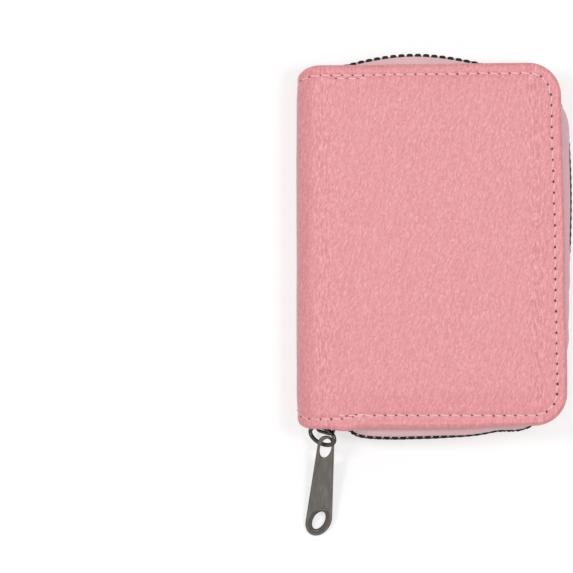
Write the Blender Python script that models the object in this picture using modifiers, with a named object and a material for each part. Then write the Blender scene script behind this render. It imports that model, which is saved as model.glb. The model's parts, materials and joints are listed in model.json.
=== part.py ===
"""Zip card wallet: a pink leather case that folds at its spine round a fan of fabric card pockets.

The wallet lies closed on its back cover. Metres, +Z up. +X points from the spine to the fore-edge,
+Y to the head. The origin is the centre of the back cover's outer face.
"""
import math

import bmesh
import bpy
from mathutils import Matrix, Vector
from mathutils.geometry import convex_hull_2d

MM = 0.001

# Covers
COVER_WIDTH = 81.0 * MM
COVER_HEIGHT = 110.0 * MM
THICKNESS = 25.0 * MM
FORE_RADIUS = 10.0 * MM
FOLD_RADIUS = 7.0 * MM
LEATHER = 1.2 * MM
BOARD = 1.0 * MM
LINING = 0.5 * MM
GAP = 0.3 * MM
RIM_WIDTH = 2.7 * MM
LINING_INSET = 7.6 * MM
SMALLEST_CORNER = 2.0 * MM
CAVITY_OVERRUN = 3.0 * MM

# Card pockets, which fill the covers but for these margins
LEAF_COUNT = 18
LEAF_THICKNESS = 0.4 * MM
LEAF_SET_BACK = 8.6 * MM
LEAF_CORNER = 2.0 * MM
PLEAT_DEPTH = 6.0 * MM
PLEAT_SLANT = 2.4 * MM
BASE_THICKNESS = 0.3 * MM
MOUTH_MARGIN = 14.4 * MM
PLEAT_MARGIN = 5.2 * MM
STACK_CLEARANCE = 0.45 * MM

# Zip track, seen from above: three shallow arcs joined by two corner arcs
SIDE_RUN_RADIUS = 100.0 * MM
FORE_RUN_RADIUS = 330.0 * MM
TRACK_CORNER_RADIUS = 18.0 * MM
LOWER_BULGE = 2.5 * MM
UPPER_BULGE = 2.8 * MM
FORE_BULGE = 1.86 * MM
LOWER_BULGE_X = -3.0 * MM
UPPER_BULGE_X = -4.0 * MM
FORE_BULGE_Y = 14.0 * MM
TRACK_FROM_SPINE = 4.5 * MM
TAPE_THICKNESS = 0.5 * MM
TAPE_MARGIN = 3.4 * MM
TAPE_FOOT = 0.8 * MM

# Zip teeth
TOOTH_PITCH = 2.46 * MM
TOOTH_WIDTH = 0.85 * MM
TOOTH_DEPTH = 1.8 * MM
TOOTH_OVERLAP = 0.9 * MM
TOOTH_RELIEF = 0.3 * MM
CORD_HEIGHT = 1.1 * MM
CHAIN_LEAD = 1.5 * MM

# Slider, ring and pull
SLIDER_FROM_SPINE = 9.3 * MM
SLIDER_LENGTH = 9.0 * MM
SLIDER_NOSE_WIDTH = 8.4 * MM
SLIDER_TAIL_WIDTH = 6.6 * MM
PLATE = 0.6 * MM
PLATE_CLEARANCE = 0.15 * MM
FLANGE = 0.6 * MM
FLANGE_SLOT = 0.9 * MM
POST_LENGTH = 2.2 * MM
POST_WIDTH = 1.8 * MM
POST_SET_BACK = 0.4 * MM
JOIN_BITE = 0.05 * MM
NOSE_ROUND_SHARE = 0.35
NOSE_TIP_SHARE = 0.6
FLANGE_START_SHARE = 0.45
CROWN_WIRE = 1.0 * MM
CROWN_HOLE = 1.65 * MM
CROWN_SPAN = 6.0 * MM
RING_WIRE = 1.2 * MM
RING_HALF_WIDTH = 5.0 * MM
RING_HALF_LENGTH = 2.6 * MM
RING_CLEARANCE = 0.25 * MM
RING_TILT = math.radians(52.0)
RING_DROOP = math.radians(25.0)
PULL_LENGTH = 31.5 * MM
PULL_THICKNESS = 0.9 * MM
PULL_TOP_WIDTH = 5.0 * MM
PULL_RIM = 0.8 * MM
PULL_EYE_LENGTH = 5.9 * MM
PULL_EYE_TAPER = 0.75
PULL_TIP_EYE = (3.6 * MM, 6.4 * MM)
PULL_TIP_RIM = 2.0 * MM
PULL_TIP_SLANT = math.radians(20.0)
PULL_SEAT = 2.4 * MM
PULL_LEAN = math.radians(-5.1)
PULL_FLOOR_CLEARANCE = 0.1 * MM

# Small fittings
END_TAB_WIDTH = 11.0 * MM
END_TAB_REACH = 4.3 * MM
END_TAB_THICKNESS = 0.4 * MM
STOP_LENGTH = 1.6 * MM
STOP_THICKNESS = 1.5 * MM

# Steps of curved outlines
COVER_CORNER_STEPS = 8
FOLD_STEPS = 8
LEAF_CORNER_STEPS = 3
TAPE_RISE_STEPS = 4
TRACK_CORNER_STEPS = 10
TRACK_RUN_STEPS = 9
CROWN_STEPS = 4
RING_STEPS = 28
PULL_STEPS = 9
PULL_EYE_STEPS = 6
TIP_EYE_STEPS = 18
PULL_TIP_STEPS = 32
WIRE_RESOLUTION = 2
SHARP_ANGLE = math.radians(35.0)

# Worked out from the sizes above
BOARD_Z = LEATHER + GAP
LINING_Z = BOARD_Z + BOARD + GAP
COVER_DEPTH = LINING_Z + LINING
LEAF_DEPTH = COVER_WIDTH - LEAF_SET_BACK - MOUTH_MARGIN
LEAF_WIDTH = COVER_HEIGHT - 2 * (GAP + PLEAT_DEPTH + PLEAT_MARGIN)
LEAF_STACK = THICKNESS - 2 * (STACK_CLEARANCE + COVER_DEPTH)
LEAF_PITCH = (LEAF_STACK - LEAF_THICKNESS) / (LEAF_COUNT + 1)
SPINE_X = -COVER_WIDTH / 2
FORE_X = COVER_WIDTH / 2
HALF_HEIGHT = COVER_HEIGHT / 2
MID_Z = THICKNESS / 2
COVER_START_X = SPINE_X + FOLD_RADIUS + GAP
TRACK_START_X = SPINE_X + TRACK_FROM_SPINE
SLIDER_X = SPINE_X + SLIDER_FROM_SPINE
SPINE_PANEL_HALF = MID_Z - FOLD_RADIUS
SPINE_BOARD_X = SPINE_X + BOARD_Z
SPINE_LINING_X = SPINE_X + LINING_Z
SPINE_INNER_X = SPINE_X + COVER_DEPTH
FOLD_AXIS_INSET = FOLD_RADIUS * (1 - math.pi / 4)
LEAF_BASE_X = SPINE_X + LEAF_SET_BACK
LEAF_HALF_WIDTH = LEAF_WIDTH / 2
PLEAT_ROOT = LEAF_HALF_WIDTH + GAP
PLEAT_TIP = PLEAT_ROOT + PLEAT_DEPTH
CHAIN_HALF = TOOTH_DEPTH / 2
CORD_START = TOOTH_OVERLAP + TOOTH_RELIEF
CORD_END = CORD_START + CORD_HEIGHT
TAPE_TOP = MID_Z - CORD_END - GAP
TAPE_STRAIGHT = MID_Z - SLIDER_NOSE_WIDTH / 2 - GAP
PLATE_INNER = CHAIN_HALF + PLATE_CLEARANCE
PLATE_OUTER = PLATE_INNER + PLATE
CROWN_AXIS = PLATE_OUTER + CROWN_HOLE + CROWN_WIRE / 2
RING_NEAR = PLATE_OUTER + RING_CLEARANCE + RING_WIRE / 2

LOWER_CENTRE = Vector((LOWER_BULGE_X, SIDE_RUN_RADIUS + CHAIN_HALF - LOWER_BULGE - HALF_HEIGHT))
UPPER_CENTRE = Vector((UPPER_BULGE_X, HALF_HEIGHT + UPPER_BULGE - CHAIN_HALF - SIDE_RUN_RADIUS))
FORE_CENTRE = Vector((FORE_X + FORE_BULGE - CHAIN_HALF - FORE_RUN_RADIUS, FORE_BULGE_Y))

PINK = (0.80, 0.36, 0.38)
PALE_PINK = (0.78, 0.50, 0.50)
BOARD_GREY = (0.35, 0.33, 0.31)
MAUVE = (0.09, 0.06, 0.065)
NEAR_BLACK = (0.018, 0.017, 0.018)
TAUPE = (0.22, 0.20, 0.17)
TOOTH_BLACK = (0.012, 0.011, 0.012)
GUNMETAL = (0.14, 0.13, 0.12)


def clear_scene():
    for old in list(bpy.data.objects):
        bpy.data.objects.remove(old, do_unlink=True)


def new_collection(name):
    collection = bpy.data.collections.new(name)
    bpy.context.scene.collection.children.link(collection)
    return collection


def make_material(name, colour, roughness, metallic=0.0):
    material = bpy.data.materials.new(name)
    material.use_nodes = True
    shader = material.node_tree.nodes["Principled BSDF"]
    shader.inputs["Base Color"].default_value = (*colour, 1.0)
    shader.inputs["Roughness"].default_value = roughness
    shader.inputs["Metallic"].default_value = metallic
    return material


def add_object(name, data, collection, material=None):
    obj = bpy.data.objects.new(name, data)
    collection.objects.link(obj)
    if material:
        data.materials.append(material)
    return obj


def mesh_from(bm, name):
    bmesh.ops.recalc_face_normals(bm, faces=bm.faces)
    mesh = bpy.data.meshes.new(name)
    bm.to_mesh(mesh)
    bm.free()
    mesh.shade_smooth()
    mesh.set_sharp_from_angle(angle=SHARP_ANGLE)
    return mesh


def world_place(empty):
    """Where an empty stands, summed up the chain of empties that carry it."""
    place = empty.location.copy()
    while empty.parent:
        empty = empty.parent
        place += empty.location
    return place


def hinge_at(name, place, carrier=None):
    """An empty on a joint's axis, which carries what turns about it."""
    empty = bpy.data.objects.new(name, None)
    empty.location = place
    if carrier:
        empty.location -= world_place(carrier)
        empty.parent = carrier
    bpy.context.scene.collection.objects.link(empty)
    return empty


def hang_on(obj, empty, place=None):
    """Let an empty carry an object, which stays where it is or goes to the given place."""
    obj.parent = empty
    obj.matrix_parent_inverse = Matrix.Translation(-world_place(empty))
    if place:
        obj.matrix_basis = place


def add_box(name, low, high, collection, material=None):
    """A box between two corners."""
    bm = bmesh.new()
    bmesh.ops.create_cube(bm, size=1.0)
    size = Vector(high) - Vector(low)
    bmesh.ops.scale(bm, vec=size, verts=bm.verts)
    bmesh.ops.translate(bm, vec=(Vector(low) + Vector(high)) / 2, verts=bm.verts)
    return add_object(name, mesh_from(bm, name), collection, material)


def arc_points(centre, radius, start, end, steps):
    """Points on an arc, angles in radians, both ends included."""
    points = []
    for i in range(steps + 1):
        angle = start + (end - start) * i / steps
        points.append((centre[0] + radius * math.cos(angle), centre[1] + radius * math.sin(angle)))
    return points


def outline_mesh(name, outlines, depth):
    """The closed solid of flat outlines (the first is the edge, the others holes), z from 0 to depth."""
    curve = bpy.data.curves.new(name, "CURVE")
    curve.dimensions = "2D"
    curve.fill_mode = "BOTH"
    curve.extrude = depth / 2
    for outline in outlines:
        spline = curve.splines.new("POLY")
        spline.points.add(len(outline) - 1)
        for point, place in zip(spline.points, outline):
            point.co = (place[0], place[1], 0.0, 1.0)
        spline.use_cyclic_u = True
    guide = bpy.data.objects.new(name + "_guide", curve)
    bpy.context.scene.collection.objects.link(guide)
    mesh = bpy.data.meshes.new_from_object(guide.evaluated_get(bpy.context.evaluated_depsgraph_get()))
    bpy.data.objects.remove(guide, do_unlink=True)
    bm = bmesh.new()
    bm.from_mesh(mesh)
    bmesh.ops.remove_doubles(bm, verts=bm.verts, dist=0.01 * MM)
    bmesh.ops.translate(bm, vec=(0, 0, depth / 2), verts=bm.verts)
    bpy.data.meshes.remove(mesh)
    return mesh_from(bm, name)


def cover_outline(inset, start_x):
    """The covers' plan, drawn in by inset, square at the spine and round at the fore-edge."""
    half = HALF_HEIGHT - inset
    radius = max(FORE_RADIUS - inset, SMALLEST_CORNER)
    corner_x = FORE_X - inset - radius
    lower = arc_points((corner_x, -half + radius), radius, -math.pi / 2, 0.0, COVER_CORNER_STEPS)
    upper = arc_points((corner_x, half - radius), radius, 0.0, math.pi / 2, COVER_CORNER_STEPS)
    return [(start_x, -half)] + lower + upper + [(start_x, half)]


def flip_to_front(mesh):
    """Turn a back-cover mesh into the front cover's by mirroring it about mid thickness."""
    for vert in mesh.vertices:
        vert.co.z = THICKNESS - vert.co.z
    mesh.flip_normals()


def placed_for(side, mesh):
    if side == "front":
        flip_to_front(mesh)
    return mesh


def make_cover_leather(side, parts, cutters, material):
    """A leather tray: the outer face, and the edge turned in over the board."""
    name = side + "_leather"
    solid = outline_mesh(name, [cover_outline(0.0, COVER_START_X)], COVER_DEPTH)
    outer = add_object(name, placed_for(side, solid), parts, material)
    cavity_start = COVER_START_X - CAVITY_OVERRUN
    cavity = outline_mesh(name + "_cavity", [cover_outline(RIM_WIDTH, cavity_start)], COVER_DEPTH)
    cavity.transform(Matrix.Translation((0, 0, LEATHER)))
    cutter = add_object(name + "_cutter", placed_for(side, cavity), cutters)
    cutter.hide_render = True
    cutter.display_type = "WIRE"
    cut = outer.modifiers.new("turned_edge", "BOOLEAN")
    cut.operation = "DIFFERENCE"
    cut.object = cutter
    cut.solver = "EXACT"
    return [outer, cutter]


def make_cover_layer(name, side, inset, z_low, depth, parts, material):
    mesh = outline_mesh(name, [cover_outline(inset, COVER_START_X)], depth)
    mesh.transform(Matrix.Translation((0, 0, z_low)))
    return add_object(name, placed_for(side, mesh), parts, material)


def make_cover(side, parts, cutters, materials):
    """One cover with its fold and its half of the zip; returns the objects that move together."""
    pieces = make_cover_leather(side, parts, cutters, materials["leather"])
    pieces += [
        make_fold_leather(side, parts, materials["leather"]),
        make_cover_layer(side + "_board", side, RIM_WIDTH + GAP, BOARD_Z, BOARD, parts, materials["board"]),
        make_cover_layer(side + "_lining", side, LINING_INSET, LINING_Z, LINING, parts, materials["lining"]),
        make_tape(side, parts, materials["tape"]),
        make_teeth(side, parts, materials["teeth"]),
        make_end_stop(side, parts, materials["metal"]),
    ]
    return pieces


def make_fold_leather(side, parts, material):
    """The leather round the edge between a cover and the spine, which bends when the wallet opens."""
    name = side + "_fold_leather"
    centre = (SPINE_X + FOLD_RADIUS, FOLD_RADIUS)
    outer = arc_points(centre, FOLD_RADIUS, -math.pi / 2, -math.pi, FOLD_STEPS)
    inner = arc_points(centre, FOLD_RADIUS - LEATHER, -math.pi, -math.pi / 2, FOLD_STEPS)
    mesh = outline_mesh(name, [outer + inner], COVER_HEIGHT)
    stand_up = Matrix.Rotation(math.pi / 2, 4, "X")
    mesh.transform(Matrix.Translation((0, HALF_HEIGHT, 0)) @ stand_up)
    return add_object(name, placed_for(side, mesh), parts, material)


def make_spine(parts, materials):
    """The flat of the spine: leather, board, lining and the fabric tabs at the lining's ends."""
    board_half = HALF_HEIGHT - RIM_WIDTH - GAP
    lining_half = LEAF_HALF_WIDTH + GAP
    leather_half_z = SPINE_PANEL_HALF - GAP
    layers = [
        ("spine_leather", SPINE_X, LEATHER, HALF_HEIGHT, leather_half_z, "leather"),
        ("spine_board", SPINE_BOARD_X, BOARD, board_half, SPINE_PANEL_HALF, "board"),
        ("spine_lining", SPINE_LINING_X, LINING, lining_half, SPINE_PANEL_HALF, "lining"),
    ]
    pieces = []
    for name, low_x, depth, half_height, half_z, finish in layers:
        low = (low_x, -half_height, MID_Z - half_z)
        high = (low_x + depth, half_height, MID_Z + half_z)
        pieces.append(add_box(name, low, high, parts, materials[finish]))
    tab_low = lining_half + GAP
    tab_high = tab_low + END_TAB_REACH
    for name, low_y, high_y in (("end_tab_lower", -tab_high, -tab_low), ("end_tab_upper", tab_low, tab_high)):
        low = (SPINE_LINING_X, low_y, MID_Z - END_TAB_WIDTH / 2)
        high = (SPINE_LINING_X + END_TAB_THICKNESS, high_y, MID_Z + END_TAB_WIDTH / 2)
        pieces.append(add_box(name, low, high, parts, materials["tab"]))
    return pieces


def leaf_outline():
    """A pocket wall's plan: square at its base, small round corners at its mouth."""
    mouth_x = LEAF_BASE_X + LEAF_DEPTH
    corner_x = mouth_x - LEAF_CORNER
    half = LEAF_HALF_WIDTH
    lower = arc_points((corner_x, -half + LEAF_CORNER), LEAF_CORNER, -math.pi / 2, 0.0, LEAF_CORNER_STEPS)
    upper = arc_points((corner_x, half - LEAF_CORNER), LEAF_CORNER, 0.0, math.pi / 2, LEAF_CORNER_STEPS)
    return [(LEAF_BASE_X, -half)] + lower + upper + [(LEAF_BASE_X, half)]


def leaf_names():
    inner = ["leaf_%02d" % (i + 1) for i in range(LEAF_COUNT)]
    return ["outer_leaf_back"] + inner + ["outer_leaf_front"]


def leaf_z(index):
    """Mid height of a pocket wall, counted from the back cover."""
    return MID_Z + LEAF_PITCH * (index - (LEAF_COUNT + 1) / 2)


def make_leaf(index, name, carrier, parts, material):
    """A pocket wall, hinged at its base halfway to its inner neighbour; returns the hinge."""
    mesh = outline_mesh(name, [leaf_outline()], LEAF_THICKNESS)
    mesh.transform(Matrix.Translation((0, 0, leaf_z(index) - LEAF_THICKNESS / 2)))
    leaf = add_object(name, mesh, parts, material)
    middle = (LEAF_COUNT + 1) / 2
    towards_middle = math.copysign(LEAF_PITCH / 2, middle - index)
    hinge = hinge_at(name + "_hinge", (LEAF_BASE_X, 0, leaf_z(index) + towards_middle), carrier)
    hang_on(leaf, hinge)
    return hinge


def make_leaves(spine_hinge, parts, material):
    """The pocket walls in two chains, each starting beside the middle pocket and ending at a cover."""
    names = leaf_names()
    middle = LEAF_COUNT // 2
    carrier = spine_hinge
    for index in range(middle, -1, -1):
        carrier = make_leaf(index, names[index], carrier, parts, material)
        if index == middle:
            upward_carrier = carrier
    for index in range(middle + 1, len(names)):
        upward_carrier = make_leaf(index, names[index], upward_carrier, parts, material)


def pleat_outline():
    """A pleated strip's section in Y and Z: in at each wall, out halfway between walls."""
    near_side = []
    last = LEAF_COUNT + 1
    for index in range(last + 1):
        near_side.append((PLEAT_ROOT, leaf_z(index)))
        if index < last:
            near_side.append((PLEAT_TIP - PLEAT_SLANT, leaf_z(index) + LEAF_PITCH / 2))
    far_side = [(y + PLEAT_SLANT, z) for y, z in near_side]
    return near_side + list(reversed(far_side))


def make_gussets(parts, material):
    gussets = []
    for name, sign in (("gusset_lower", -1), ("gusset_upper", 1)):
        mesh = outline_mesh(name, [[(sign * y, z) for y, z in pleat_outline()]], LEAF_DEPTH)
        turn = Matrix(((0, 0, 1, LEAF_BASE_X), (1, 0, 0, 0), (0, 1, 0, 0), (0, 0, 0, 1)))
        mesh.transform(turn)
        gussets.append(add_object(name, mesh, parts, material))
    return gussets


def make_accordion_base(parts, material):
    """The fabric floor across the roots of all the pocket walls."""
    low = (LEAF_BASE_X - GAP - BASE_THICKNESS, -LEAF_HALF_WIDTH, MID_Z - LEAF_STACK / 2)
    high = (LEAF_BASE_X - GAP, LEAF_HALF_WIDTH, MID_Z + LEAF_STACK / 2)
    return add_box("accordion_base", low, high, parts, material)


def corner_centre(side_centre, sign):
    """Centre of the corner arc that touches a side run and the fore-edge run from inside."""
    a = side_centre
    b = FORE_CENTRE
    ra = SIDE_RUN_RADIUS - TRACK_CORNER_RADIUS
    rb = FORE_RUN_RADIUS - TRACK_CORNER_RADIUS
    span = b - a
    distance = span.length
    along = (ra * ra - rb * rb + distance * distance) / (2 * distance)
    across = math.sqrt(ra * ra - along * along)
    unit = span / distance
    foot = a + unit * along
    normal = Vector((-unit.y, unit.x))
    ends = (foot + normal * across, foot - normal * across)
    return max(ends, key=lambda end: sign * end.y)


def angle_of(vector):
    return math.atan2(vector.y, vector.x)


def track_arcs():
    """The zip track's arcs in order, from the lower spine end round to the upper one."""
    low_corner = corner_centre(LOWER_CENTRE, -1)
    high_corner = corner_centre(UPPER_CENTRE, 1)
    reach = TRACK_START_X - LOWER_BULGE_X
    lower_start = -math.pi / 2 + math.asin(reach / SIDE_RUN_RADIUS)
    lower_end = angle_of(low_corner - LOWER_CENTRE)
    fore_start = angle_of(low_corner - FORE_CENTRE)
    fore_end = angle_of(high_corner - FORE_CENTRE)
    upper_start = angle_of(high_corner - UPPER_CENTRE)
    upper_end = math.pi / 2 - math.asin((TRACK_START_X - UPPER_BULGE_X) / SIDE_RUN_RADIUS)
    return [
        (LOWER_CENTRE, SIDE_RUN_RADIUS, lower_start, lower_end),
        (low_corner, TRACK_CORNER_RADIUS, lower_end, fore_start),
        (FORE_CENTRE, FORE_RUN_RADIUS, fore_start, fore_end),
        (high_corner, TRACK_CORNER_RADIUS, fore_end, upper_start),
        (UPPER_CENTRE, SIDE_RUN_RADIUS, upper_start, upper_end),
    ]


def track_length():
    return sum(radius * (end - start) for _, radius, start, end in track_arcs())


def track_point(distance):
    """Place and outward direction on the track, at a distance from its lower start."""
    arcs = track_arcs()
    for centre, radius, start, end in arcs:
        length = radius * (end - start)
        if distance <= length or (centre, radius, start, end) == arcs[-1]:
            angle = start + distance / radius
            outward = Vector((math.cos(angle), math.sin(angle)))
            return centre + outward * radius, outward
        distance -= length


def slider_distance():
    """How far along the track the slider stands."""
    angle = math.asin((SLIDER_X - LOWER_BULGE_X) / SIDE_RUN_RADIUS)
    start = math.asin((TRACK_START_X - LOWER_BULGE_X) / SIDE_RUN_RADIUS)
    return SIDE_RUN_RADIUS * (angle - start)


def tape_foot(place):
    """Where the tape turns up, on the line inside the cover's edge, and the direction inward from it."""
    core_x = FORE_X - FORE_RADIUS
    core_y = HALF_HEIGHT - FORE_RADIUS
    core = Vector((min(place.x, core_x), max(-core_y, min(core_y, place.y))))
    outward = (place - core).normalized()
    return core + outward * (FORE_RADIUS - TAPE_MARGIN), -outward


def tape_section(place):
    """A tape's section at one station, from its sewn margin up to the cord, as (place, z) pairs.

    It is upright from below the slider's plates, so that the slider runs along it clear of its slot.
    """
    foot, inward = tape_foot(place)
    sewn_z = LINING_Z + TAPE_THICKNESS / 2
    margin = LINING_INSET - TAPE_MARGIN - GAP - TAPE_THICKNESS / 2
    section = [(foot + inward * margin, sewn_z), (foot + inward * TAPE_FOOT, sewn_z)]
    rise_start = sewn_z + TAPE_FOOT
    for i in range(TAPE_RISE_STEPS + 1):
        share = i / TAPE_RISE_STEPS
        swell = math.sin(share * math.pi / 2)
        section.append((foot.lerp(place, swell), rise_start + (TAPE_STRAIGHT - rise_start) * share))
    section.append((place, TAPE_TOP))
    return section


def track_stations():
    """Distances along the track, close together on the corner arcs."""
    stations = [0.0]
    for _, radius, start, end in track_arcs():
        length = radius * (end - start)
        steps = TRACK_CORNER_STEPS if radius == TRACK_CORNER_RADIUS else TRACK_RUN_STEPS
        base = stations[-1]
        stations += [base + length * (i + 1) / steps for i in range(steps)]
    return stations


def make_tape(side, parts, material):
    """The zip tape: an open sheet lofted along the track, given its thickness by Solidify."""
    bm = bmesh.new()
    rows = []
    for distance in track_stations():
        place, _ = track_point(distance)
        rows.append([bm.verts.new((flat.x, flat.y, z)) for flat, z in tape_section(place)])
    for row, following in zip(rows, rows[1:]):
        for i in range(len(row) - 1):
            bm.faces.new((row[i], following[i], following[i + 1], row[i + 1]))
    name = side + "_tape"
    tape = add_object(name, placed_for(side, mesh_from(bm, name)), parts, material)
    thicken = tape.modifiers.new("thickness", "SOLIDIFY")
    thicken.thickness = TAPE_THICKNESS
    thicken.offset = 0.0
    thicken.use_even_offset = True
    return tape


def tooth_cells(side):
    """The chain's cells along the track as (start, end, is_tooth); front teeth sit in the back gaps."""
    start = slider_distance() + CHAIN_LEAD
    end = track_length() - STOP_LENGTH - 2 * GAP
    shift = 0.0 if side == "back" else TOOTH_PITCH / 2
    count = int((end - start - TOOTH_PITCH) / TOOTH_PITCH)
    cells = []
    for i in range(count):
        tooth_start = start + shift + i * TOOTH_PITCH
        tooth_end = tooth_start + TOOTH_WIDTH
        cells.append((tooth_start, tooth_end, True))
        if i < count - 1:
            cells.append((tooth_end, tooth_start + TOOTH_PITCH, False))
    return cells


def make_teeth(side, parts, material):
    """One row of teeth on its cord: a battlement strip along the track, given depth by Solidify."""
    bm = bmesh.new()
    heights = (MID_Z - CORD_END, MID_Z - CORD_START, MID_Z + TOOTH_OVERLAP)

    def column(distance, levels):
        place, _ = track_point(distance)
        return [bm.verts.new((place.x, place.y, heights[level])) for level in range(levels)]

    left = None
    for start, end, is_tooth in tooth_cells(side):
        if left is None:
            left = column(start, 3)
        right = column(end, 3)
        bm.faces.new((left[0], right[0], right[1], left[1]))
        if is_tooth:
            bm.faces.new((left[1], right[1], right[2], left[2]))
        left = right
    loose = [vert for vert in bm.verts if not vert.link_faces]
    bmesh.ops.delete(bm, geom=loose, context="VERTS")
    name = side + "_teeth"
    teeth = add_object(name, placed_for(side, mesh_from(bm, name)), parts, material)
    thicken = teeth.modifiers.new("depth", "SOLIDIFY")
    thicken.thickness = TOOTH_DEPTH
    thicken.offset = 0.0
    thicken.use_even_offset = True
    return teeth


def track_frame(distance):
    """A frame on the track at mid thickness: X along it, Y outward from it, Z up."""
    place, outward = track_point(distance)
    along = Vector((-outward.y, outward.x))
    return Matrix((
        (along.x, outward.x, 0, place.x),
        (along.y, outward.y, 0, place.y),
        (0, 0, 1, MID_Z),
        (0, 0, 0, 1),
    ))


def make_end_stop(side, parts, material):
    """The clip on the tape's far end that stops the slider."""
    frame = track_frame(track_length() - STOP_LENGTH / 2)
    low_z = -CORD_END
    name = side + "_end_stop"
    bm = bmesh.new()
    bmesh.ops.create_cube(bm, size=1.0)
    bmesh.ops.scale(bm, vec=(STOP_LENGTH, STOP_THICKNESS, CORD_END - GAP), verts=bm.verts)
    bmesh.ops.translate(bm, vec=(0, 0, low_z + (CORD_END - GAP) / 2), verts=bm.verts)
    bmesh.ops.transform(bm, matrix=frame, verts=bm.verts)
    return add_object(name, placed_for(side, mesh_from(bm, name)), parts, material)


def slider_plate_outline():
    """A slider plate in the chain's plane: wide at the nose, narrow at the tail."""
    nose = SLIDER_NOSE_WIDTH / 2
    tail = SLIDER_TAIL_WIDTH / 2
    half = SLIDER_LENGTH / 2
    shoulder = half - nose * NOSE_ROUND_SHARE
    tip = nose * NOSE_TIP_SHARE
    return [(-half, -tip), (-shoulder, -nose), (0, -nose), (half, -tail),
            (half, tail), (0, nose), (-shoulder, nose), (-half, tip)]


def flange_outline(sign):
    """The strip along one edge of a plate."""
    nose = SLIDER_NOSE_WIDTH / 2
    tail = SLIDER_TAIL_WIDTH / 2
    half = SLIDER_LENGTH / 2
    edge = [(-half * FLANGE_START_SHARE, nose), (0, nose), (half, tail)]
    inner = [(x, z - FLANGE) for x, z in reversed(edge)]
    return [(x, sign * z) for x, z in edge + inner]


def union_of(name, pieces, parts, cutters, material):
    """Join overlapping pieces into the first one with exact unions; returns it and its helpers."""
    body = add_object(name, pieces[0], parts, material)
    joined = [body]
    for number, mesh in enumerate(pieces[1:]):
        helper = add_object("%s_join_%d" % (name, number), mesh, cutters)
        helper.hide_render = True
        helper.display_type = "WIRE"
        join = body.modifiers.new("join_%d" % number, "BOOLEAN")
        join.operation = "UNION"
        join.object = helper
        join.solver = "EXACT"
        joined.append(helper)
    return joined


def slab(name, outline, low, high):
    """A plate outline, drawn along the chain and up, between two outward distances."""
    mesh = outline_mesh(name, [outline], high - low)
    mesh.transform(Matrix(((1, 0, 0, 0), (0, 0, 1, low), (0, 1, 0, 0), (0, 0, 0, 1))))
    mesh.flip_normals()
    return mesh


def make_slider(parts, cutters, material):
    """Two plates joined by the post that parts the teeth, with flanges that leave a slot for the tapes."""
    post_low = -SLIDER_LENGTH / 2 + POST_SET_BACK
    post = [(post_low, 0), (post_low + POST_LENGTH / 2, -POST_WIDTH / 2),
            (post_low + POST_LENGTH, 0), (post_low + POST_LENGTH / 2, POST_WIDTH / 2)]
    pieces = [slab("outer_plate", slider_plate_outline(), PLATE_INNER, PLATE_OUTER),
              slab("post", post, -PLATE_INNER - JOIN_BITE, PLATE_INNER + JOIN_BITE),
              slab("inner_plate", slider_plate_outline(), -PLATE_OUTER, -PLATE_INNER)]
    for sign in (-1, 1):
        pieces.append(slab("outer_flange", flange_outline(sign), FLANGE_SLOT / 2, PLATE_INNER + JOIN_BITE))
        pieces.append(slab("inner_flange", flange_outline(sign), -PLATE_INNER - JOIN_BITE, -FLANGE_SLOT / 2))
    return union_of("slider_body", pieces, parts, cutters, material)


def wire_mesh(name, points, radius, cyclic):
    """A round wire through points, as a welded mesh."""
    curve = bpy.data.curves.new(name, "CURVE")
    curve.dimensions = "3D"
    curve.bevel_depth = radius
    curve.bevel_resolution = WIRE_RESOLUTION
    curve.use_fill_caps = not cyclic
    spline = curve.splines.new("POLY")
    spline.points.add(len(points) - 1)
    for point, place in zip(spline.points, points):
        point.co = (*place, 1.0)
    spline.use_cyclic_u = cyclic
    guide = bpy.data.objects.new(name + "_guide", curve)
    bpy.context.scene.collection.objects.link(guide)
    mesh = bpy.data.meshes.new_from_object(guide.evaluated_get(bpy.context.evaluated_depsgraph_get()))
    bpy.data.objects.remove(guide, do_unlink=True)
    bm = bmesh.new()
    bm.from_mesh(mesh)
    bmesh.ops.remove_doubles(bm, verts=bm.verts, dist=0.01 * MM)
    bpy.data.meshes.remove(mesh)
    return mesh_from(bm, name)


def make_crown(parts, material):
    """The bridge over the outer plate, open crosswise for the ring's wire."""
    foot = PLATE_OUTER + GAP / 2
    half = (CROWN_SPAN - CROWN_WIRE) / 2
    bend = min(CROWN_AXIS - foot, half) / 2
    points = [(-half, foot, 0)]
    for x, y in arc_points((-half + bend, CROWN_AXIS - bend), bend, math.pi, math.pi / 2, CROWN_STEPS):
        points.append((x, y, 0))
    for x, y in arc_points((half - bend, CROWN_AXIS - bend), bend, math.pi / 2, 0.0, CROWN_STEPS):
        points.append((x, y, 0))
    points.append((half, foot, 0))
    mesh = wire_mesh("slider_crown", points, CROWN_WIRE / 2, False)
    return add_object("slider_crown", mesh, parts, material)


def make_ring(parts, material):
    """An oval wire ring, centred in its own frame: X across, Y away from the slider."""
    points = []
    for i in range(RING_STEPS):
        angle = 2 * math.pi * i / RING_STEPS
        points.append((RING_HALF_WIDTH * math.cos(angle), RING_HALF_LENGTH * math.sin(angle), 0))
    mesh = wire_mesh("pull_ring", points, RING_WIRE / 2, True)
    return add_object("pull_ring", mesh, parts, material)


def taper_outline(top_radius, tip_radius, length, steps):
    """Two circles joined by their common tangents, from the top at y = 0 down to y = -length."""
    span = length - top_radius - tip_radius
    lean = math.asin((tip_radius - top_radius) / span)
    top = arc_points((0, -top_radius), top_radius, lean, math.pi - lean, steps)
    tip = arc_points((0, -length + tip_radius), tip_radius, math.pi - lean, 2 * math.pi + lean, steps)
    return top + tip


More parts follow.
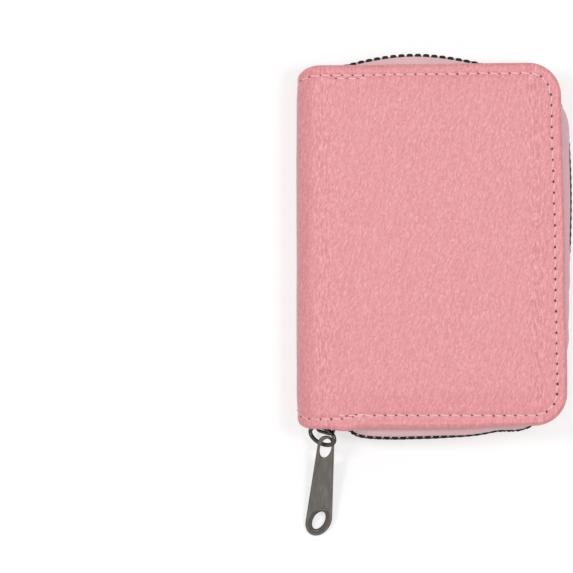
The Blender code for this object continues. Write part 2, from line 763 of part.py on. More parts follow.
def slanted_oval(centre_y, half_width, half_height, steps):
    """An oval on the pull's middle line, with its top leaning to the right."""
    points = []
    for i in range(steps):
        angle = 2 * math.pi * i / steps
        across = half_width * math.cos(angle)
        along = half_height * math.sin(angle)
        x = across * math.cos(PULL_TIP_SLANT) + along * math.sin(PULL_TIP_SLANT)
        y = along * math.cos(PULL_TIP_SLANT) - across * math.sin(PULL_TIP_SLANT)
        points.append((x, centre_y + y))
    return points


def pull_outline(tip_centre_y, tip_half_width, tip_half_height):
    """The round top and the slanted oval tip, joined by straight sides."""
    top_radius = PULL_TOP_WIDTH / 2
    points = arc_points((0, -top_radius), top_radius, 0.0, math.pi, 2 * PULL_STEPS)
    points += slanted_oval(tip_centre_y, tip_half_width, tip_half_height, PULL_TIP_STEPS)
    return [points[index] for index in convex_hull_2d(points)]


def make_pull(parts, material):
    """The flat pull: a tapered plate with a long eye for the ring and a slanted oval eye at its tip."""
    eye_radius = PULL_TOP_WIDTH / 2 - PULL_RIM
    low_radius = eye_radius * PULL_EYE_TAPER
    eye_at_top = taper_outline(eye_radius, low_radius, PULL_EYE_LENGTH, PULL_EYE_STEPS)
    eye = [(x, y - PULL_RIM) for x, y in eye_at_top]
    half_width = PULL_TIP_EYE[0] / 2
    half_height = PULL_TIP_EYE[1] / 2
    outer_width = half_width + PULL_TIP_RIM
    outer_height = half_height + PULL_TIP_RIM
    reach = math.hypot(outer_width * math.sin(PULL_TIP_SLANT), outer_height * math.cos(PULL_TIP_SLANT))
    centre_y = reach - PULL_LENGTH
    outline = pull_outline(centre_y, outer_width, outer_height)
    tip_eye = slanted_oval(centre_y, half_width, half_height, TIP_EYE_STEPS)
    mesh = outline_mesh("pull_tab", [outline, eye, tip_eye], PULL_THICKNESS)
    mesh.transform(Matrix.Translation((0, PULL_SEAT, -PULL_THICKNESS / 2)))
    return add_object("pull_tab", mesh, parts, material)


def make_zip_hardware(parts, cutters, material):
    """Slider, bridge, ring and pull, each placed in the frame of what carries it."""
    slider_frame = track_frame(slider_distance())
    slider_hinge = hinge_at("slider_hinge", (*LOWER_CENTRE, MID_Z))
    for piece in make_slider(parts, cutters, material) + [make_crown(parts, material)]:
        hang_on(piece, slider_hinge, slider_frame)

    tilt = Matrix.Rotation(-RING_TILT, 4, "Y")
    droop = Matrix.Rotation(-RING_DROOP, 4, "X")
    near_wire = slider_frame @ Matrix.Translation((0, RING_NEAR, 0)) @ tilt @ droop
    ring_place = near_wire @ Matrix.Translation((0, RING_HALF_LENGTH, 0))
    ring_hinge = hinge_at("ring_hinge", near_wire.translation, slider_hinge)
    hang_on(make_ring(parts, material), ring_hinge, ring_place)

    far_wire = (ring_place @ Matrix.Translation((0, RING_HALF_LENGTH, 0))).translation
    tip_drop = far_wire.z - PULL_FLOOR_CLEARANCE - PULL_THICKNESS / 2
    pull_droop = math.asin(tip_drop / (PULL_LENGTH - PULL_SEAT))
    lean = Matrix.Rotation(PULL_LEAN, 4, "Z") @ Matrix.Rotation(pull_droop, 4, "X")
    pull_hinge = hinge_at("pull_hinge", far_wire, ring_hinge)
    hang_on(make_pull(parts, material), pull_hinge, Matrix.Translation(far_wire) @ lean)


def build_wallet():
    clear_scene()
    parts = new_collection("zip_card_wallet")
    cutters = new_collection("cutters")
    materials = {
        "leather": make_material("pink_leather", PINK, 0.45),
        "board": make_material("grey_board", BOARD_GREY, 0.9),
        "lining": make_material("mauve_lining", MAUVE, 0.6),
        "tab": make_material("taupe_fabric", TAUPE, 0.8),
        "pocket": make_material("black_fabric", NEAR_BLACK, 0.75),
        "tape": make_material("pale_tape", PALE_PINK, 0.85),
        "teeth": make_material("black_teeth", TOOTH_BLACK, 0.3),
        "metal": make_material("dark_metal", GUNMETAL, 0.35, 1.0),
    }
    fold_x = SPINE_X + FOLD_AXIS_INSET
    spine_hinge = hinge_at("spine_hinge", (fold_x, 0, FOLD_AXIS_INSET))
    front_hinge = hinge_at("front_hinge", (fold_x, 0, THICKNESS - FOLD_AXIS_INSET), spine_hinge)

    make_cover("back", parts, cutters, materials)
    spine_pieces = make_spine(parts, materials)
    spine_pieces.append(make_accordion_base(parts, materials["pocket"]))
    spine_pieces += make_gussets(parts, materials["pocket"])
    for piece in spine_pieces:
        hang_on(piece, spine_hinge)
    for piece in make_cover("front", parts, cutters, materials):
        hang_on(piece, front_hinge)
    make_leaves(spine_hinge, parts, materials["pocket"])
    make_zip_hardware(parts, cutters, materials["metal"])


build_wallet()
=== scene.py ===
"""Looks of the zip card wallet: pebbled pink leather, stitching, zip, metal pull and card pockets."""
import json
import math
import random

import bmesh
import bpy
import numpy as np
from mathutils import Matrix, Vector, noise
from mathutils.geometry import convex_hull_2d


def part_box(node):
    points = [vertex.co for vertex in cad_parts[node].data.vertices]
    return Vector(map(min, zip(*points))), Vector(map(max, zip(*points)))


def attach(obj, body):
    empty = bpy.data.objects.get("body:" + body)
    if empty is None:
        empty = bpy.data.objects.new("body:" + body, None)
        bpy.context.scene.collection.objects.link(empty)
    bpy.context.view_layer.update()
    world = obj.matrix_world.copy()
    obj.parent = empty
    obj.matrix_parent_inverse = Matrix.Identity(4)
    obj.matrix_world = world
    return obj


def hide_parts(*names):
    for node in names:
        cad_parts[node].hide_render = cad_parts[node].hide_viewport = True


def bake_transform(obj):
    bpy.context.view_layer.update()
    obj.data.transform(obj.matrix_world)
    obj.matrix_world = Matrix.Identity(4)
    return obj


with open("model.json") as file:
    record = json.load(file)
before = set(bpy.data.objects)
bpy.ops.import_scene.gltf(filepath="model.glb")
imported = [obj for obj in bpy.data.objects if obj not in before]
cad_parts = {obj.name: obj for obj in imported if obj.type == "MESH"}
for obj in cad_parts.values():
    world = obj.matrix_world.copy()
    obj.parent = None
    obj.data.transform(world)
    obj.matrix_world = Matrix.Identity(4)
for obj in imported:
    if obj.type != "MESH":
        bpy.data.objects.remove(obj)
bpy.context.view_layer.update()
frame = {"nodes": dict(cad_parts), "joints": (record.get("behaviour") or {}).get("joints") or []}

MM = 0.001
SIDES = (("back", -1), ("front", 1))
ENDS = (("tail", -1), ("head", 1))

# Places read from the frame
LEATHER_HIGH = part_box("back_leather")[1]
SPINE_LOW, SPINE_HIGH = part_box("spine_leather")
LEAF_LOW, LEAF_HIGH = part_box("leaf_09")
SPINE_X = SPINE_LOW.x
FORE_X = LEATHER_HIGH.x
HALF_HEIGHT = LEATHER_HIGH.y
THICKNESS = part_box("front_leather")[1].z
MID_Z = THICKNESS / 2
COVER_DEPTH = LEATHER_HIGH.z
LEATHER = SPINE_HIGH.x - SPINE_LOW.x
LEATHER_SHEET = 0.9 * LEATHER
LEAF_BASE_X = LEAF_LOW.x
LEAF_MOUTH_X = LEAF_HIGH.x
LEAF_HALF_WIDTH = LEAF_HIGH.y

# Leather wrap
FORE_RADIUS = 10.0 * MM
FOLD_RADIUS = 7.0 * MM
TURN_IN = 2.7 * MM
STITCH_INSET = 3.1 * MM
STITCH_PITCH = 3.25 * MM
GROOVE_DEPTH = 0.30 * MM
GROOVE_WIDTH = 0.85 * MM
FLAT_INSET = 5.2 * MM
ROLL_WIDTH = 1.2 * MM
ROLL_STEPS = 10
FACE_STEP = 0.22 * MM
CREASE_INSET = 1.65 * MM
CREASE_DEPTH = 0.10 * MM
CREASE_WIDTH = 0.28 * MM
HEADCAP_DIP = {1: 3.6 * MM, -1: 2.4 * MM}
HEADCAP_SHAPE = {1: 2.0, -1: 3.5}
SPINE_BULGE = 0.25 * MM
COVER_DOME = 0.42 * MM
DOME_WIDTH = 8.0 * MM
FORE_SLANT = 1.3 * MM
FORE_REACH = 0.6 * MM
HEAD_RISE = 0.8 * MM
TAIL_RISE = 1.0 * MM
TAIL_FLARE = 0.88 * MM
WRINKLE = 0.12 * MM
WRINKLE_SIZE = (10 * MM, 24 * MM)
SEAM_FLAT = 0.2 * MM
RUN_STEPS = 92
CORNER_STEPS = 16
SIDE_STEPS = 128
FOLD_STEPS = 20
SPINE_STEPS = 18

SPINE_FLAT = MID_Z - FOLD_RADIUS
FOLD_LENGTH = FOLD_RADIUS * math.pi / 2
SEAM_U = SPINE_FLAT + FOLD_LENGTH
SEAM_X = SPINE_X + FOLD_RADIUS
CORNER_X = FORE_X - FORE_RADIUS
CORNER_Y = HALF_HEIGHT - FORE_RADIUS

# Zip track, seen from above: three shallow arcs joined by two corner arcs
SIDE_RUN_RADIUS = 100.0 * MM
FORE_RUN_RADIUS = 330.0 * MM
TRACK_CORNER_RADIUS = 18.0 * MM
LOWER_BULGE = 2.5 * MM
UPPER_BULGE = 2.8 * MM
FORE_BULGE = 1.86 * MM
LOWER_BULGE_X = -3.0 * MM
UPPER_BULGE_X = -4.0 * MM
FORE_BULGE_Y = 14.0 * MM
TRACK_START_X = SPINE_X + 4.5 * MM
SLIDER_X = SPINE_X + 9.3 * MM
CHAIN_HALF = 0.9 * MM
TOOTH_PITCH = 2.46 * MM
CHAIN_LEAD = 1.9 * MM
CHAIN_END = 2.2 * MM
TRACK_STEPS = 300

LOWER_CENTRE = Vector((LOWER_BULGE_X, SIDE_RUN_RADIUS + CHAIN_HALF - LOWER_BULGE - HALF_HEIGHT))
UPPER_CENTRE = Vector((UPPER_BULGE_X, HALF_HEIGHT + UPPER_BULGE - CHAIN_HALF - SIDE_RUN_RADIUS))
FORE_CENTRE = Vector((FORE_X + FORE_BULGE - CHAIN_HALF - FORE_RUN_RADIUS, FORE_BULGE_Y))


# Materials

# Bands where the grain is streakier, as fine creases in its bump and as painted highlight and shade in its
# colour: distances from the spine's middle and width, in mm
CREASE_HIGHLIGHT_BANDS = (17.2, 82.0)
CREASE_HIGHLIGHT_WIDTH = 4.5
CREASE_HIGHLIGHT_DEPTH = 1.1
GRAIN_LEAN = math.radians(13.0)
# Grain colours, the valley darker and the crest lighter: partly the leather's own print, partly painted
# shade and painted highlight
LEATHER_VALLEY = (0.655, 0.222, 0.243)
LEATHER_PINK = (0.79, 0.303, 0.325)
LEATHER_CREST = (0.905, 0.400, 0.424)

# The wave texture's scale at which one wave is one unit long
ONE_WAVE = math.pi / 10


class Nodes:
    """Builds a node tree in few words; lengths are in mm."""

    def __init__(self, tree):
        self.tree = tree

    def node(self, kind, output, inputs, **options):
        """Adds a node, links or sets its inputs, and gives back one of its outputs."""
        node = self.tree.nodes.new("ShaderNode" + kind)
        for key, value in options.items():
            setattr(node, key, value)
        for key, value in inputs.items():
            self.feed(node.inputs[key], value)
        return node.outputs[output]

    def feed(self, socket, value):
        if isinstance(value, bpy.types.NodeSocket):
            self.tree.links.new(value, socket)
        else:
            socket.default_value = value

    def rest(self, across, along, deep, turn=0.0):
        """A piece's own flat coordinates, turned and then in units of a cell's size."""
        flat = self.node("Attribute", "Vector", {}, attribute_name="rest")
        turned = self.node("Mapping", "Vector", {"Vector": flat, "Rotation": (0.0, 0.0, turn)})
        scale = [1 / (size * MM) for size in (across, along, deep)]
        return self.node("Mapping", "Vector", {"Vector": turned, "Scale": scale})

    def noise(self, vector, detail=3.0, rough=0.5, distortion=0.0, scale=1.0, output="Fac"):
        return self.node("TexNoise", output, {"Vector": vector, "Scale": scale, "Detail": detail,
                                              "Roughness": rough, "Distortion": distortion})

    def warped(self, vector, scale, reach):
        """The coordinates pushed about by noise, so that what is drawn on them runs unevenly."""
        wobble = self.noise(vector, scale=scale, output="Color")
        return self.node("VectorMath", "Vector", {0: wobble, 1: reach, 2: vector},
                         operation="MULTIPLY_ADD")

    def wave(self, vector, direction, distortion=0.0):
        inputs = {"Vector": vector, "Scale": ONE_WAVE, "Distortion": distortion}
        return self.node("TexWave", "Fac", inputs, wave_type="BANDS", bands_direction=direction,
                         wave_profile="SIN")

    def math(self, operation, *values):
        return self.node("Math", "Value", dict(enumerate(values)), operation=operation)

    def total(self, *terms):
        """The sum of (value, weight) pairs."""
        result = self.math("MULTIPLY", *terms[0])
        for value, weight in terms[1:]:
            result = self.math("MULTIPLY_ADD", value, weight, result)
        return result

    def smooth_range(self, value, start, end):
        return self.node("MapRange", "Result", {"Value": value, "From Min": start, "From Max": end},
                         interpolation_type="SMOOTHSTEP")

    def crease_highlight_bands(self):
        """1 in the middle of each band of creases and painted highlight, easing to 0 at its sides."""
        distance = self.math("ABSOLUTE", self.node("SeparateXYZ", "X", {"Vector": self.rest(1, 1, 1)}))
        bands = []
        for place in CREASE_HIGHLIGHT_BANDS:
            away = self.math("ABSOLUTE", self.math("SUBTRACT", distance, place))
            bands.append(self.smooth_range(away, CREASE_HIGHLIGHT_WIDTH, 0.0))
        return self.math("ADD", *bands)

    def ramp(self, factor, stops):
        colour = self.node("ValToRGB", "Color", {"Fac": factor})
        elements = colour.node.color_ramp.elements
        while len(elements) < len(stops):
            elements.new(0.5)
        for element, (place, shade) in zip(elements, stops):
            element.position = place
            element.color = (*shade, 1.0)
        return colour

    def bump(self, height, strength, distance):
        inputs = {"Height": height, "Strength": strength, "Distance": distance * MM}
        return self.node("Bump", "Normal", inputs)

    def mix_shaders(self, factor, first, second, output):
        """Ends the tree in one of two shaders, by a factor."""
        mixed = self.node("MixShader", "Shader", {0: factor, 1: first, 2: second})
        self.feed(self.tree.nodes[output].inputs["Surface"], mixed)


class Surface(Nodes):
    """A material's nodes, round its shader."""

    def __init__(self, name, roughness, metallic=0.0, specular=0.5):
        self.material = bpy.data.materials.new(name)
        self.material.use_nodes = True
        super().__init__(self.material.node_tree)
        self.shader = self.tree.nodes["Principled BSDF"]
        self.set({"Roughness": roughness, "Metallic": metallic, "Specular IOR Level": specular})

    def set(self, values):
        for key, value in values.items():
            self.feed(self.shader.inputs[key], value)
        return self.material

    def finish(self, colour, normal, **more):
        return self.set({"Base Color": colour, "Normal": normal, **more})


def leather_material():
    """Pebbled leather: long upright pebbles with fine creases between them, glossier on their tops; its
    colour is darker in the creases and lighter on the tops, partly the leather's own print and partly
    painted shade and painted highlight.
    """
    n = Surface("pink_leather_grain", 0.45)
    cells = n.warped(n.rest(0.55, 1.60, 1.0, GRAIN_LEAN), 0.5, (2.6, 1.6, 0.0))
    border = n.node("TexVoronoi", "Distance", {"Vector": cells, "Scale": 1.0, "Randomness": 1.0},
                    feature="DISTANCE_TO_EDGE")
    pebble = n.smooth_range(border, 0.0, 0.32)
    streak = n.noise(n.rest(0.55, 2.2, 1.0, GRAIN_LEAN), 4.0, 0.68, 0.5)
    fine = n.noise(n.rest(0.18, 0.42, 0.3), 2.0, 0.6)
    ridge = n.wave(n.warped(n.rest(1.75, 2.6, 1.0, GRAIN_LEAN), 0.9, (3.0, 0.8, 0.0)), "X")
    # In the crease bands the grain streaks more: creases in its bump, painted highlight and shade in its
    # colour
    pleat = n.math("SUBTRACT", n.noise(n.rest(0.62, 2.6, 1.0), 2.0), 0.5)
    pleat = n.math("MULTIPLY", pleat, n.crease_highlight_bands())
    grain = n.total((pebble, 0.18), (streak, 0.42), (fine, 0.25), (ridge, 0.11), (pleat, CREASE_HIGHLIGHT_DEPTH))
    body = n.ramp(grain, [(0.30, LEATHER_VALLEY), (0.52, LEATHER_PINK), (0.74, LEATHER_CREST)])
    return n.finish(body, n.bump(grain, 1.0, 0.20), Roughness=n.math("MULTIPLY_ADD", grain, -0.22, 0.46))


def thread_material(name, light, dark):
    n = Surface(name, 0.6)
    twist = n.noise(n.rest(0.25, 0.25, 0.25), 2.0)
    # Of a Mix node, input 0 is the factor, and inputs 6 and 7 and output 2 are colours
    colour = n.node("Mix", 2, {0: twist, 6: (*dark, 1.0), 7: (*light, 1.0)}, data_type="RGBA")
    return n.finish(colour, n.bump(twist, 0.5, 0.05))


def cloth_material(name, thread, colour_low, colour_high, roughness, sheen=0.2, specular=0.2):
    """Plain weave: two crossed sets of ridges at the thread's spacing."""
    n = Surface(name, roughness, specular=specular)
    n.set({"Sheen Weight": sheen, "Sheen Roughness": 0.5})
    flat = n.rest(thread, thread, thread)
    weave = n.math("MULTIPLY", n.wave(flat, "X", 0.6), n.wave(flat, "Y", 0.6))
    mixed = n.total((weave, 0.7), (n.noise(n.rest(6.0, 6.0, 6.0)), 0.3))
    return n.finish(n.ramp(mixed, [(0.15, colour_low), (0.75, colour_high)]), n.bump(weave, 0.5, 0.08))


def metal_material(name, colour, roughness, streak, contrast=0.3):
    """Brushed metal: fine streaks along the piece, and a little wear in its colour and gloss."""
    n = Surface(name, roughness, metallic=1.0)
    streaks = n.noise(n.rest(*streak), 3.0, 0.6)
    wear = n.noise(n.rest(3.0, 5.0, 3.0))
    low = [c * (1 - contrast) for c in colour]
    high = [c * (1 + contrast) for c in colour]
    body = n.ramp(n.total((streaks, 0.5), (wear, 0.5)), [(0.35, low), (0.65, high)])
    rough = n.math("MULTIPLY_ADD", wear, 0.25, roughness - 0.1)
    return n.finish(body, n.bump(streaks, 0.12, 0.03), Roughness=rough)


def mottled_material(name, low, high, roughness, cell, detail, bump, specular=0.5):
    n = Surface(name, roughness, specular=specular)
    mottle = n.noise(n.rest(*cell), detail)
    return n.finish(n.ramp(mottle, [(0.3, low), (0.7, high)]), n.bump(mottle, *bump))


# Used for real plastic, and also for the painted shade of the needle holes
def plastic_and_shade_material(name, colour, roughness, specular=0.5):
    low = [c * 0.7 for c in colour]
    return mottled_material(name, low, colour, roughness, (0.8, 0.8, 0.8), 2.0, (0.15, 0.05), specular)


# Mesh helpers


def link_object(name, data):
    obj = bpy.data.objects.new(name, data)
    bpy.context.scene.collection.objects.link(obj)
    return obj


def dress(mesh, *materials):
    mesh.materials.clear()
    for material in materials:
        mesh.materials.append(material)


def set_rest(obj, coordinates=None):
    """Stores a piece's flat coordinates, which its material reads, on its points."""
    mesh = obj.data
    if coordinates is None:
        coordinates = [v.co for v in mesh.vertices]
    attribute = mesh.attributes.new("rest", "FLOAT_VECTOR", "POINT")
    attribute.data.foreach_set("vector", np.array(coordinates, np.float32).ravel())
    return obj


def add_mesh(name, points, faces, material, rest=None):
    mesh = bpy.data.meshes.new(name)
    mesh.from_pydata([tuple(p) for p in points], [], faces)
    mesh.update()
    dress(mesh, material)
    return set_rest(link_object(name, mesh), rest)


def add_sheet(name, pairs, faces, material, side=-1):
    """A mesh from (point, flat coordinates) pairs, on the back half or mirrored to the front one."""
    points, rest = zip(*pairs)
    return add_mesh(name, mirror_to(side, points), faces, material, rest)


def apply_modifiers(obj, sharp=40.0):
    """Makes the evaluated shape the piece's own mesh, smooth but for edges sharper than an angle."""
    graph = bpy.context.evaluated_depsgraph_get()
    mesh = bpy.data.meshes.new_from_object(obj.evaluated_get(graph))
    obj.modifiers.clear()
    obj.data = mesh
    return smooth(obj, sharp)


def smooth(obj, sharp=40.0):
    obj.data.shade_smooth()
    obj.data.set_sharp_from_angle(angle=math.radians(sharp))
    return obj


def thicken(obj, thickness, offset=-1.0, sharp=40.0, back_material=0):
    solid = obj.modifiers.new("thickness", "SOLIDIFY")
    solid.material_offset = back_material
    solid.thickness = thickness
    solid.offset = offset
    solid.use_even_offset = False
    return apply_modifiers(obj, sharp)


def grid_faces(rows, columns, closed=False, start=0):
    """Quads of a grid of points stored row by row; closed joins the last column to the first."""
    faces = []
    for r in range(rows - 1):
        for c in range(columns if closed else columns - 1):
            d = (c + 1) % columns
            a = start + r * columns
            faces.append((a + c, a + d, a + columns + d, a + columns + c))
    return faces


def circle(sides):
    """Cosine and sine at even steps round a circle."""
    angles = [2 * math.pi * k / sides for k in range(sides)]
    return [(math.cos(a), math.sin(a)) for a in angles]


def flipped(faces, flip=True):
    return [tuple(reversed(face)) for face in faces] if flip else faces


def tube_faces(rings, sides, start=0):
    """Faces of a tube of rings of points, closed at both ends."""
    last = start + (rings - 1) * sides
    ends = [tuple(start + k for k in reversed(range(sides))), tuple(last + k for k in range(sides))]
    return grid_faces(rings, sides, True, start) + ends


def add_tube(name, points, sides, material, flip=False):
    faces = flipped(tube_faces(len(points) // sides, sides), flip)
    return smooth(add_mesh(name, points, faces, material), 60)


def mirror_to(side, points):
    """Points of the back half, or mirrored about mid thickness for the front half."""
    if side < 0:
        return points
    return [Vector((p[0], p[1], THICKNESS - p[2])) for p in points]


def spread(low, high, steps):
    """Evenly spaced values from low to high."""
    return [low + (high - low) * i / steps for i in range(steps + 1)]


def arc_points(centre, radius, start, end, steps):
    angles = spread(start, end, steps)
    return [Vector((centre[0] + radius * math.cos(a), centre[1] + radius * math.sin(a))) for a in angles]


def line_points(start, end, steps):
    return [Vector(start).lerp(Vector(end), i / steps) for i in range(steps + 1)]


def ease(x):
    x = min(max(x, 0.0), 1.0)
    return x * x * (3 - 2 * x)


def rise(x, start, width):
    """0 up to a start, easing to 1 over a width; both are in mm."""
    return ease((x - start * MM) / (width * MM))


def bell(x, middle, width):
    """1 at a middle, falling away on both sides over a width; both are in mm."""
    return math.exp(-((x - middle * MM) / (width * MM)) ** 2)


# Leather


def wrap(u):
    """A point on the leather's outer face at a distance from the spine's middle, and the way inward."""
    s = abs(u)
    side = 1 if u >= 0 else -1
    if s <= SPINE_FLAT:
        return SPINE_X, MID_Z + u, 1.0, 0.0
    if s <= SEAM_U:
        a = (s - SPINE_FLAT) / FOLD_RADIUS
        x = SEAM_X - FOLD_RADIUS * math.cos(a)
        z = MID_Z + side * (SPINE_FLAT + FOLD_RADIUS * math.sin(a))
        return x, z, math.cos(a), -side * math.sin(a)
    return SEAM_X + s - SEAM_U, MID_Z + side * MID_Z, 0.0, -side * 1.0


def fold_share(u):
    """0 on the flat of the spine, rising to 1 where a fold meets its cover."""
    return min(max((abs(u) - SPINE_FLAT) / FOLD_LENGTH, 0.0), 1.0)


def headcap_dip(u, end):
    """How far the head (end 1) or tail (end -1) is drawn in over the spine."""
    return HEADCAP_DIP[end] * (1 - fold_share(u)) ** HEADCAP_SHAPE[end]


def settle(x, y):
    """Moves a point of the ideal plan to the real one, which is a little out of square at both ends."""
    across = ease((x - SEAM_X) / (FORE_X - SEAM_X))
    up = ease((y + 5 * MM) / HALF_HEIGHT)
    x_shift = (FORE_REACH * rise(-y, 12, 26) - FORE_SLANT * up) * across
    return x + x_shift, y + HEAD_RISE * across * up + TAIL_RISE * rise(x, -28, 8) * rise(-y, 25, 25)


def tail_flare(x, inset):
    """How far the tail's hem flares out beyond its stitching, fading towards both corners."""
    along = rise(x, -32, 7) * (1 - rise(x, 2, 28))
    return TAIL_FLARE * along * max(1 - inset / STITCH_INSET, 0.0)


def edge_distance(x, y):
    """How far a point of a cover lies in from its outer edge."""
    if x > CORNER_X and abs(y) > CORNER_Y:
        return FORE_RADIUS - math.hypot(x - CORNER_X, abs(y) - CORNER_Y)
    return min(FORE_X - x, HALF_HEIGHT - abs(y))


def dome(u, inset):
    """The soft rise of the front cover inside its stitching."""
    if u < 0:
        return 0.0
    return COVER_DOME * ease((inset - STITCH_INSET) / DOME_WIDTH) * ease((u - SEAM_U) / DOME_WIDTH)


def swell(u, inset):
    """How far the leather stands out over the spine between its two hems."""
    share = 1 - min(abs(u) / SEAM_U, 1.0) ** 2
    return SPINE_BULGE * ease(share) * rise(inset, 2, 7)


def wrinkles(u, y):
    """The leather's long soft wrinkles."""
    return WRINKLE * noise.noise(Vector((u / WRINKLE_SIZE[0], y / WRINKLE_SIZE[1], 3.7)))


def relief(u, y, inset, along):
    """How far the leather's face stands out at a place on the wrap."""
    return swell(u, inset) + dome(u, inset) + wrinkles(u, y) - stitch_pull(inset, along)


def stitch_pull(inset, along):
    """Depth of the groove that the stitches pull into the leather, deepest at the needle holes."""
    groove = math.exp(-((inset - STITCH_INSET) / GROOVE_WIDTH) ** 2)
    hole = 0.65 + 0.35 * math.cos(2 * math.pi * along / STITCH_PITCH)
    crease = math.exp(-((inset - CREASE_INSET) / CREASE_WIDTH) ** 2)
    return GROOVE_DEPTH * groove * hole + CREASE_DEPTH * crease


def edge_stations():
    """(inset, depth) round the leather's edge, from its turned-in flange to the open face."""
    half = COVER_DEPTH / 2
    stations = [(TURN_IN, COVER_DEPTH), (ROLL_WIDTH, COVER_DEPTH)]
    for angle in spread(-math.pi / 2, math.pi / 2, ROLL_STEPS)[1:-1]:
        stations.append((ROLL_WIDTH * (1 - math.cos(angle)), half - half * math.sin(angle)))
    insets = spread(ROLL_WIDTH, FLAT_INSET, round((FLAT_INSET - ROLL_WIDTH) / FACE_STEP))
    return stations + [(inset, 0.0) for inset in insets]


def round_outline(start_x, fore_x, half, radius):
    """Along the tail, round the fore-edge's two corners and back along the head."""
    cx = fore_x - radius
    cy = half - radius
    points = line_points((start_x, -half), (cx, -half), RUN_STEPS)[:-1]
    points += arc_points((cx, -cy), radius, -math.pi / 2, 0, CORNER_STEPS)[:-1]
    points += line_points((fore_x, -cy), (fore_x, cy), SIDE_STEPS)[:-1]
    points += arc_points((cx, cy), radius, 0, math.pi / 2, CORNER_STEPS)[:-1]
    points += line_points((cx, half), (start_x, half), RUN_STEPS)
    return points


def cover_outline(inset):
    """A cover's edge drawn in by inset."""
    return round_outline(SEAM_X, FORE_X - inset, HALF_HEIGHT - inset, FORE_RADIUS - inset)


def lengths_along(points):
    """Distance along a line of points at each of them."""
    total = [0.0]
    for a, b in zip(points, points[1:]):
        total.append(total[-1] + (b - a).length)
    return total


def leather_face_point(side, x, y, inset, depth, along):
    """A point of a cover's leather and its flat coordinates; depth 0 is its outer face."""
    u = side * (SEAM_U + x - SEAM_X)
    if depth == 0.0:
        depth = -relief(u, y, inset, along)
    z = MID_Z + side * (MID_Z - depth)
    place_x, place_y = settle(x, y)
    if y < 0:
        place_y -= tail_flare(x, inset)
    return (place_x, place_y, z), (u, y, max(depth, 0.0))


def patch_points(ring):
    """Points inside a ring of outline points, by blending its four sides (a Coons patch)."""
    across = RUN_STEPS + CORNER_STEPS // 2
    up = SIDE_STEPS + CORNER_STEPS
    bottom = ring[:across + 1]
    right = ring[across:across + up + 1]
    top = list(reversed(ring[across + up:]))
    left = line_points(ring[0], ring[-1], up)
    rows = []
    for j in range(up + 1):
        t = j / up
        row = []
        for i in range(across + 1):
            s = i / across
            sides = left[j] * (1 - s) + right[j] * s + bottom[i] * (1 - t) + top[i] * t
            corners = (bottom[0] * (1 - s) + bottom[-1] * s) * (1 - t) + (top[0] * (1 - s) + top[-1] * s) * t
            row.append(sides - corners)
        rows.append(row)
    return rows, across, up


def fill_patch(pairs, faces, ring, face_pair):
    """Fills the last ring of a sheet's pairs; a function gives the pair for each place inside it."""
    rows, across, up = patch_points(ring)
    last = len(pairs) - len(ring)
    index = {}
    for j, row in enumerate(rows):
        for i, place in enumerate(row):
            if j == 0:
                index[i, j] = last + i
            elif i == across:
                index[i, j] = last + across + j
            elif j == up:
                index[i, j] = last + len(ring) - 1 - i
            else:
                index[i, j] = len(pairs)
                pairs.append(face_pair(place))
    for j in range(up):
        for i in range(across):
            faces.append((index[i, j], index[i + 1, j], index[i + 1, j + 1], index[i, j + 1]))


def make_cover_leather(name, side, material):
    stations = edge_stations()
    along = lengths_along(cover_outline(STITCH_INSET))
    pairs = []
    for inset, depth in stations:
        ring = cover_outline(inset)
        for place, distance in zip(ring, along):
            pairs.append(leather_face_point(side, place.x, place.y, inset, depth, distance))
    faces = grid_faces(len(stations), len(ring))

    def face_pair(place):
        return leather_face_point(side, place.x, place.y, edge_distance(place.x, place.y), 0.0, 0.0)

    fill_patch(pairs, faces, ring, face_pair)
    return thicken(add_sheet(name, pairs, flipped(faces, side < 0), material), LEATHER_SHEET)


def strip_stations():
    """(end, inset, depth) from the tail hem to the head hem; end is 0 between them, where inset is y."""
    edge = edge_stations()
    flat = HALF_HEIGHT - FLAT_INSET
    stations = [(-1, *station) for station in edge]
    stations += [(0, y, 0.0) for y in spread(-flat, flat, SIDE_STEPS + CORNER_STEPS)[1:-1]]
    return stations + [(1, *station) for station in reversed(edge)]


def strip_point(u, end, inset, depth):
    """A point of the leather over the folds and the spine, and its flat coordinates."""
    if end:
        y = end * (HALF_HEIGHT - headcap_dip(u, end) - inset)
    else:
        y = inset * (1 - headcap_dip(u, 1 if inset > 0 else -1) / HALF_HEIGHT)
        inset = HALF_HEIGHT - abs(inset)
    if depth == 0.0:
        depth = -relief(u, y, inset, abs(u))
    x, z, nx, nz = wrap(u)
    return (x + nx * depth, y, z + nz * depth), (u, y, max(depth, 0.0))


def make_strip_leather(name, stops, material):
    """The leather between two places on the wrap, hem to hem."""
    stations = strip_stations()
    pairs = [strip_point(u, *station) for station in stations for u in stops]
    faces = grid_faces(len(stations), len(stops))
    return thicken(add_sheet(name, pairs, faces, material), LEATHER_SHEET)


def even_stops(low, high, steps):
    """Places between two ends, with a short flat step at each so that the pieces' shading meets."""
    return [low] + spread(low + SEAM_FLAT, high - SEAM_FLAT, steps) + [high]


def make_leather(material):
    """The wrap in five pieces: the covers and the spine, each on its body, and the two folds between them.
    """
    for name, side in SIDES:
        cover = make_cover_leather(name + "_cover_leather", side, material)
        finish_piece(cover, name + "_cover", "pink_leather", name + "_leather")
        low, high = sorted((side * SPINE_FLAT, side * SEAM_U))
        fold = make_strip_leather(name + "_fold_wrap", even_stops(low, high, FOLD_STEPS), material)
        finish_fold(fold, name, "pink_leather", name + "_fold_leather")
    spine = make_strip_leather("spine_wrap", even_stops(-SPINE_FLAT, SPINE_FLAT, SPINE_STEPS), material)
    finish_piece(spine, "spine", "pink_leather", "spine_leather")


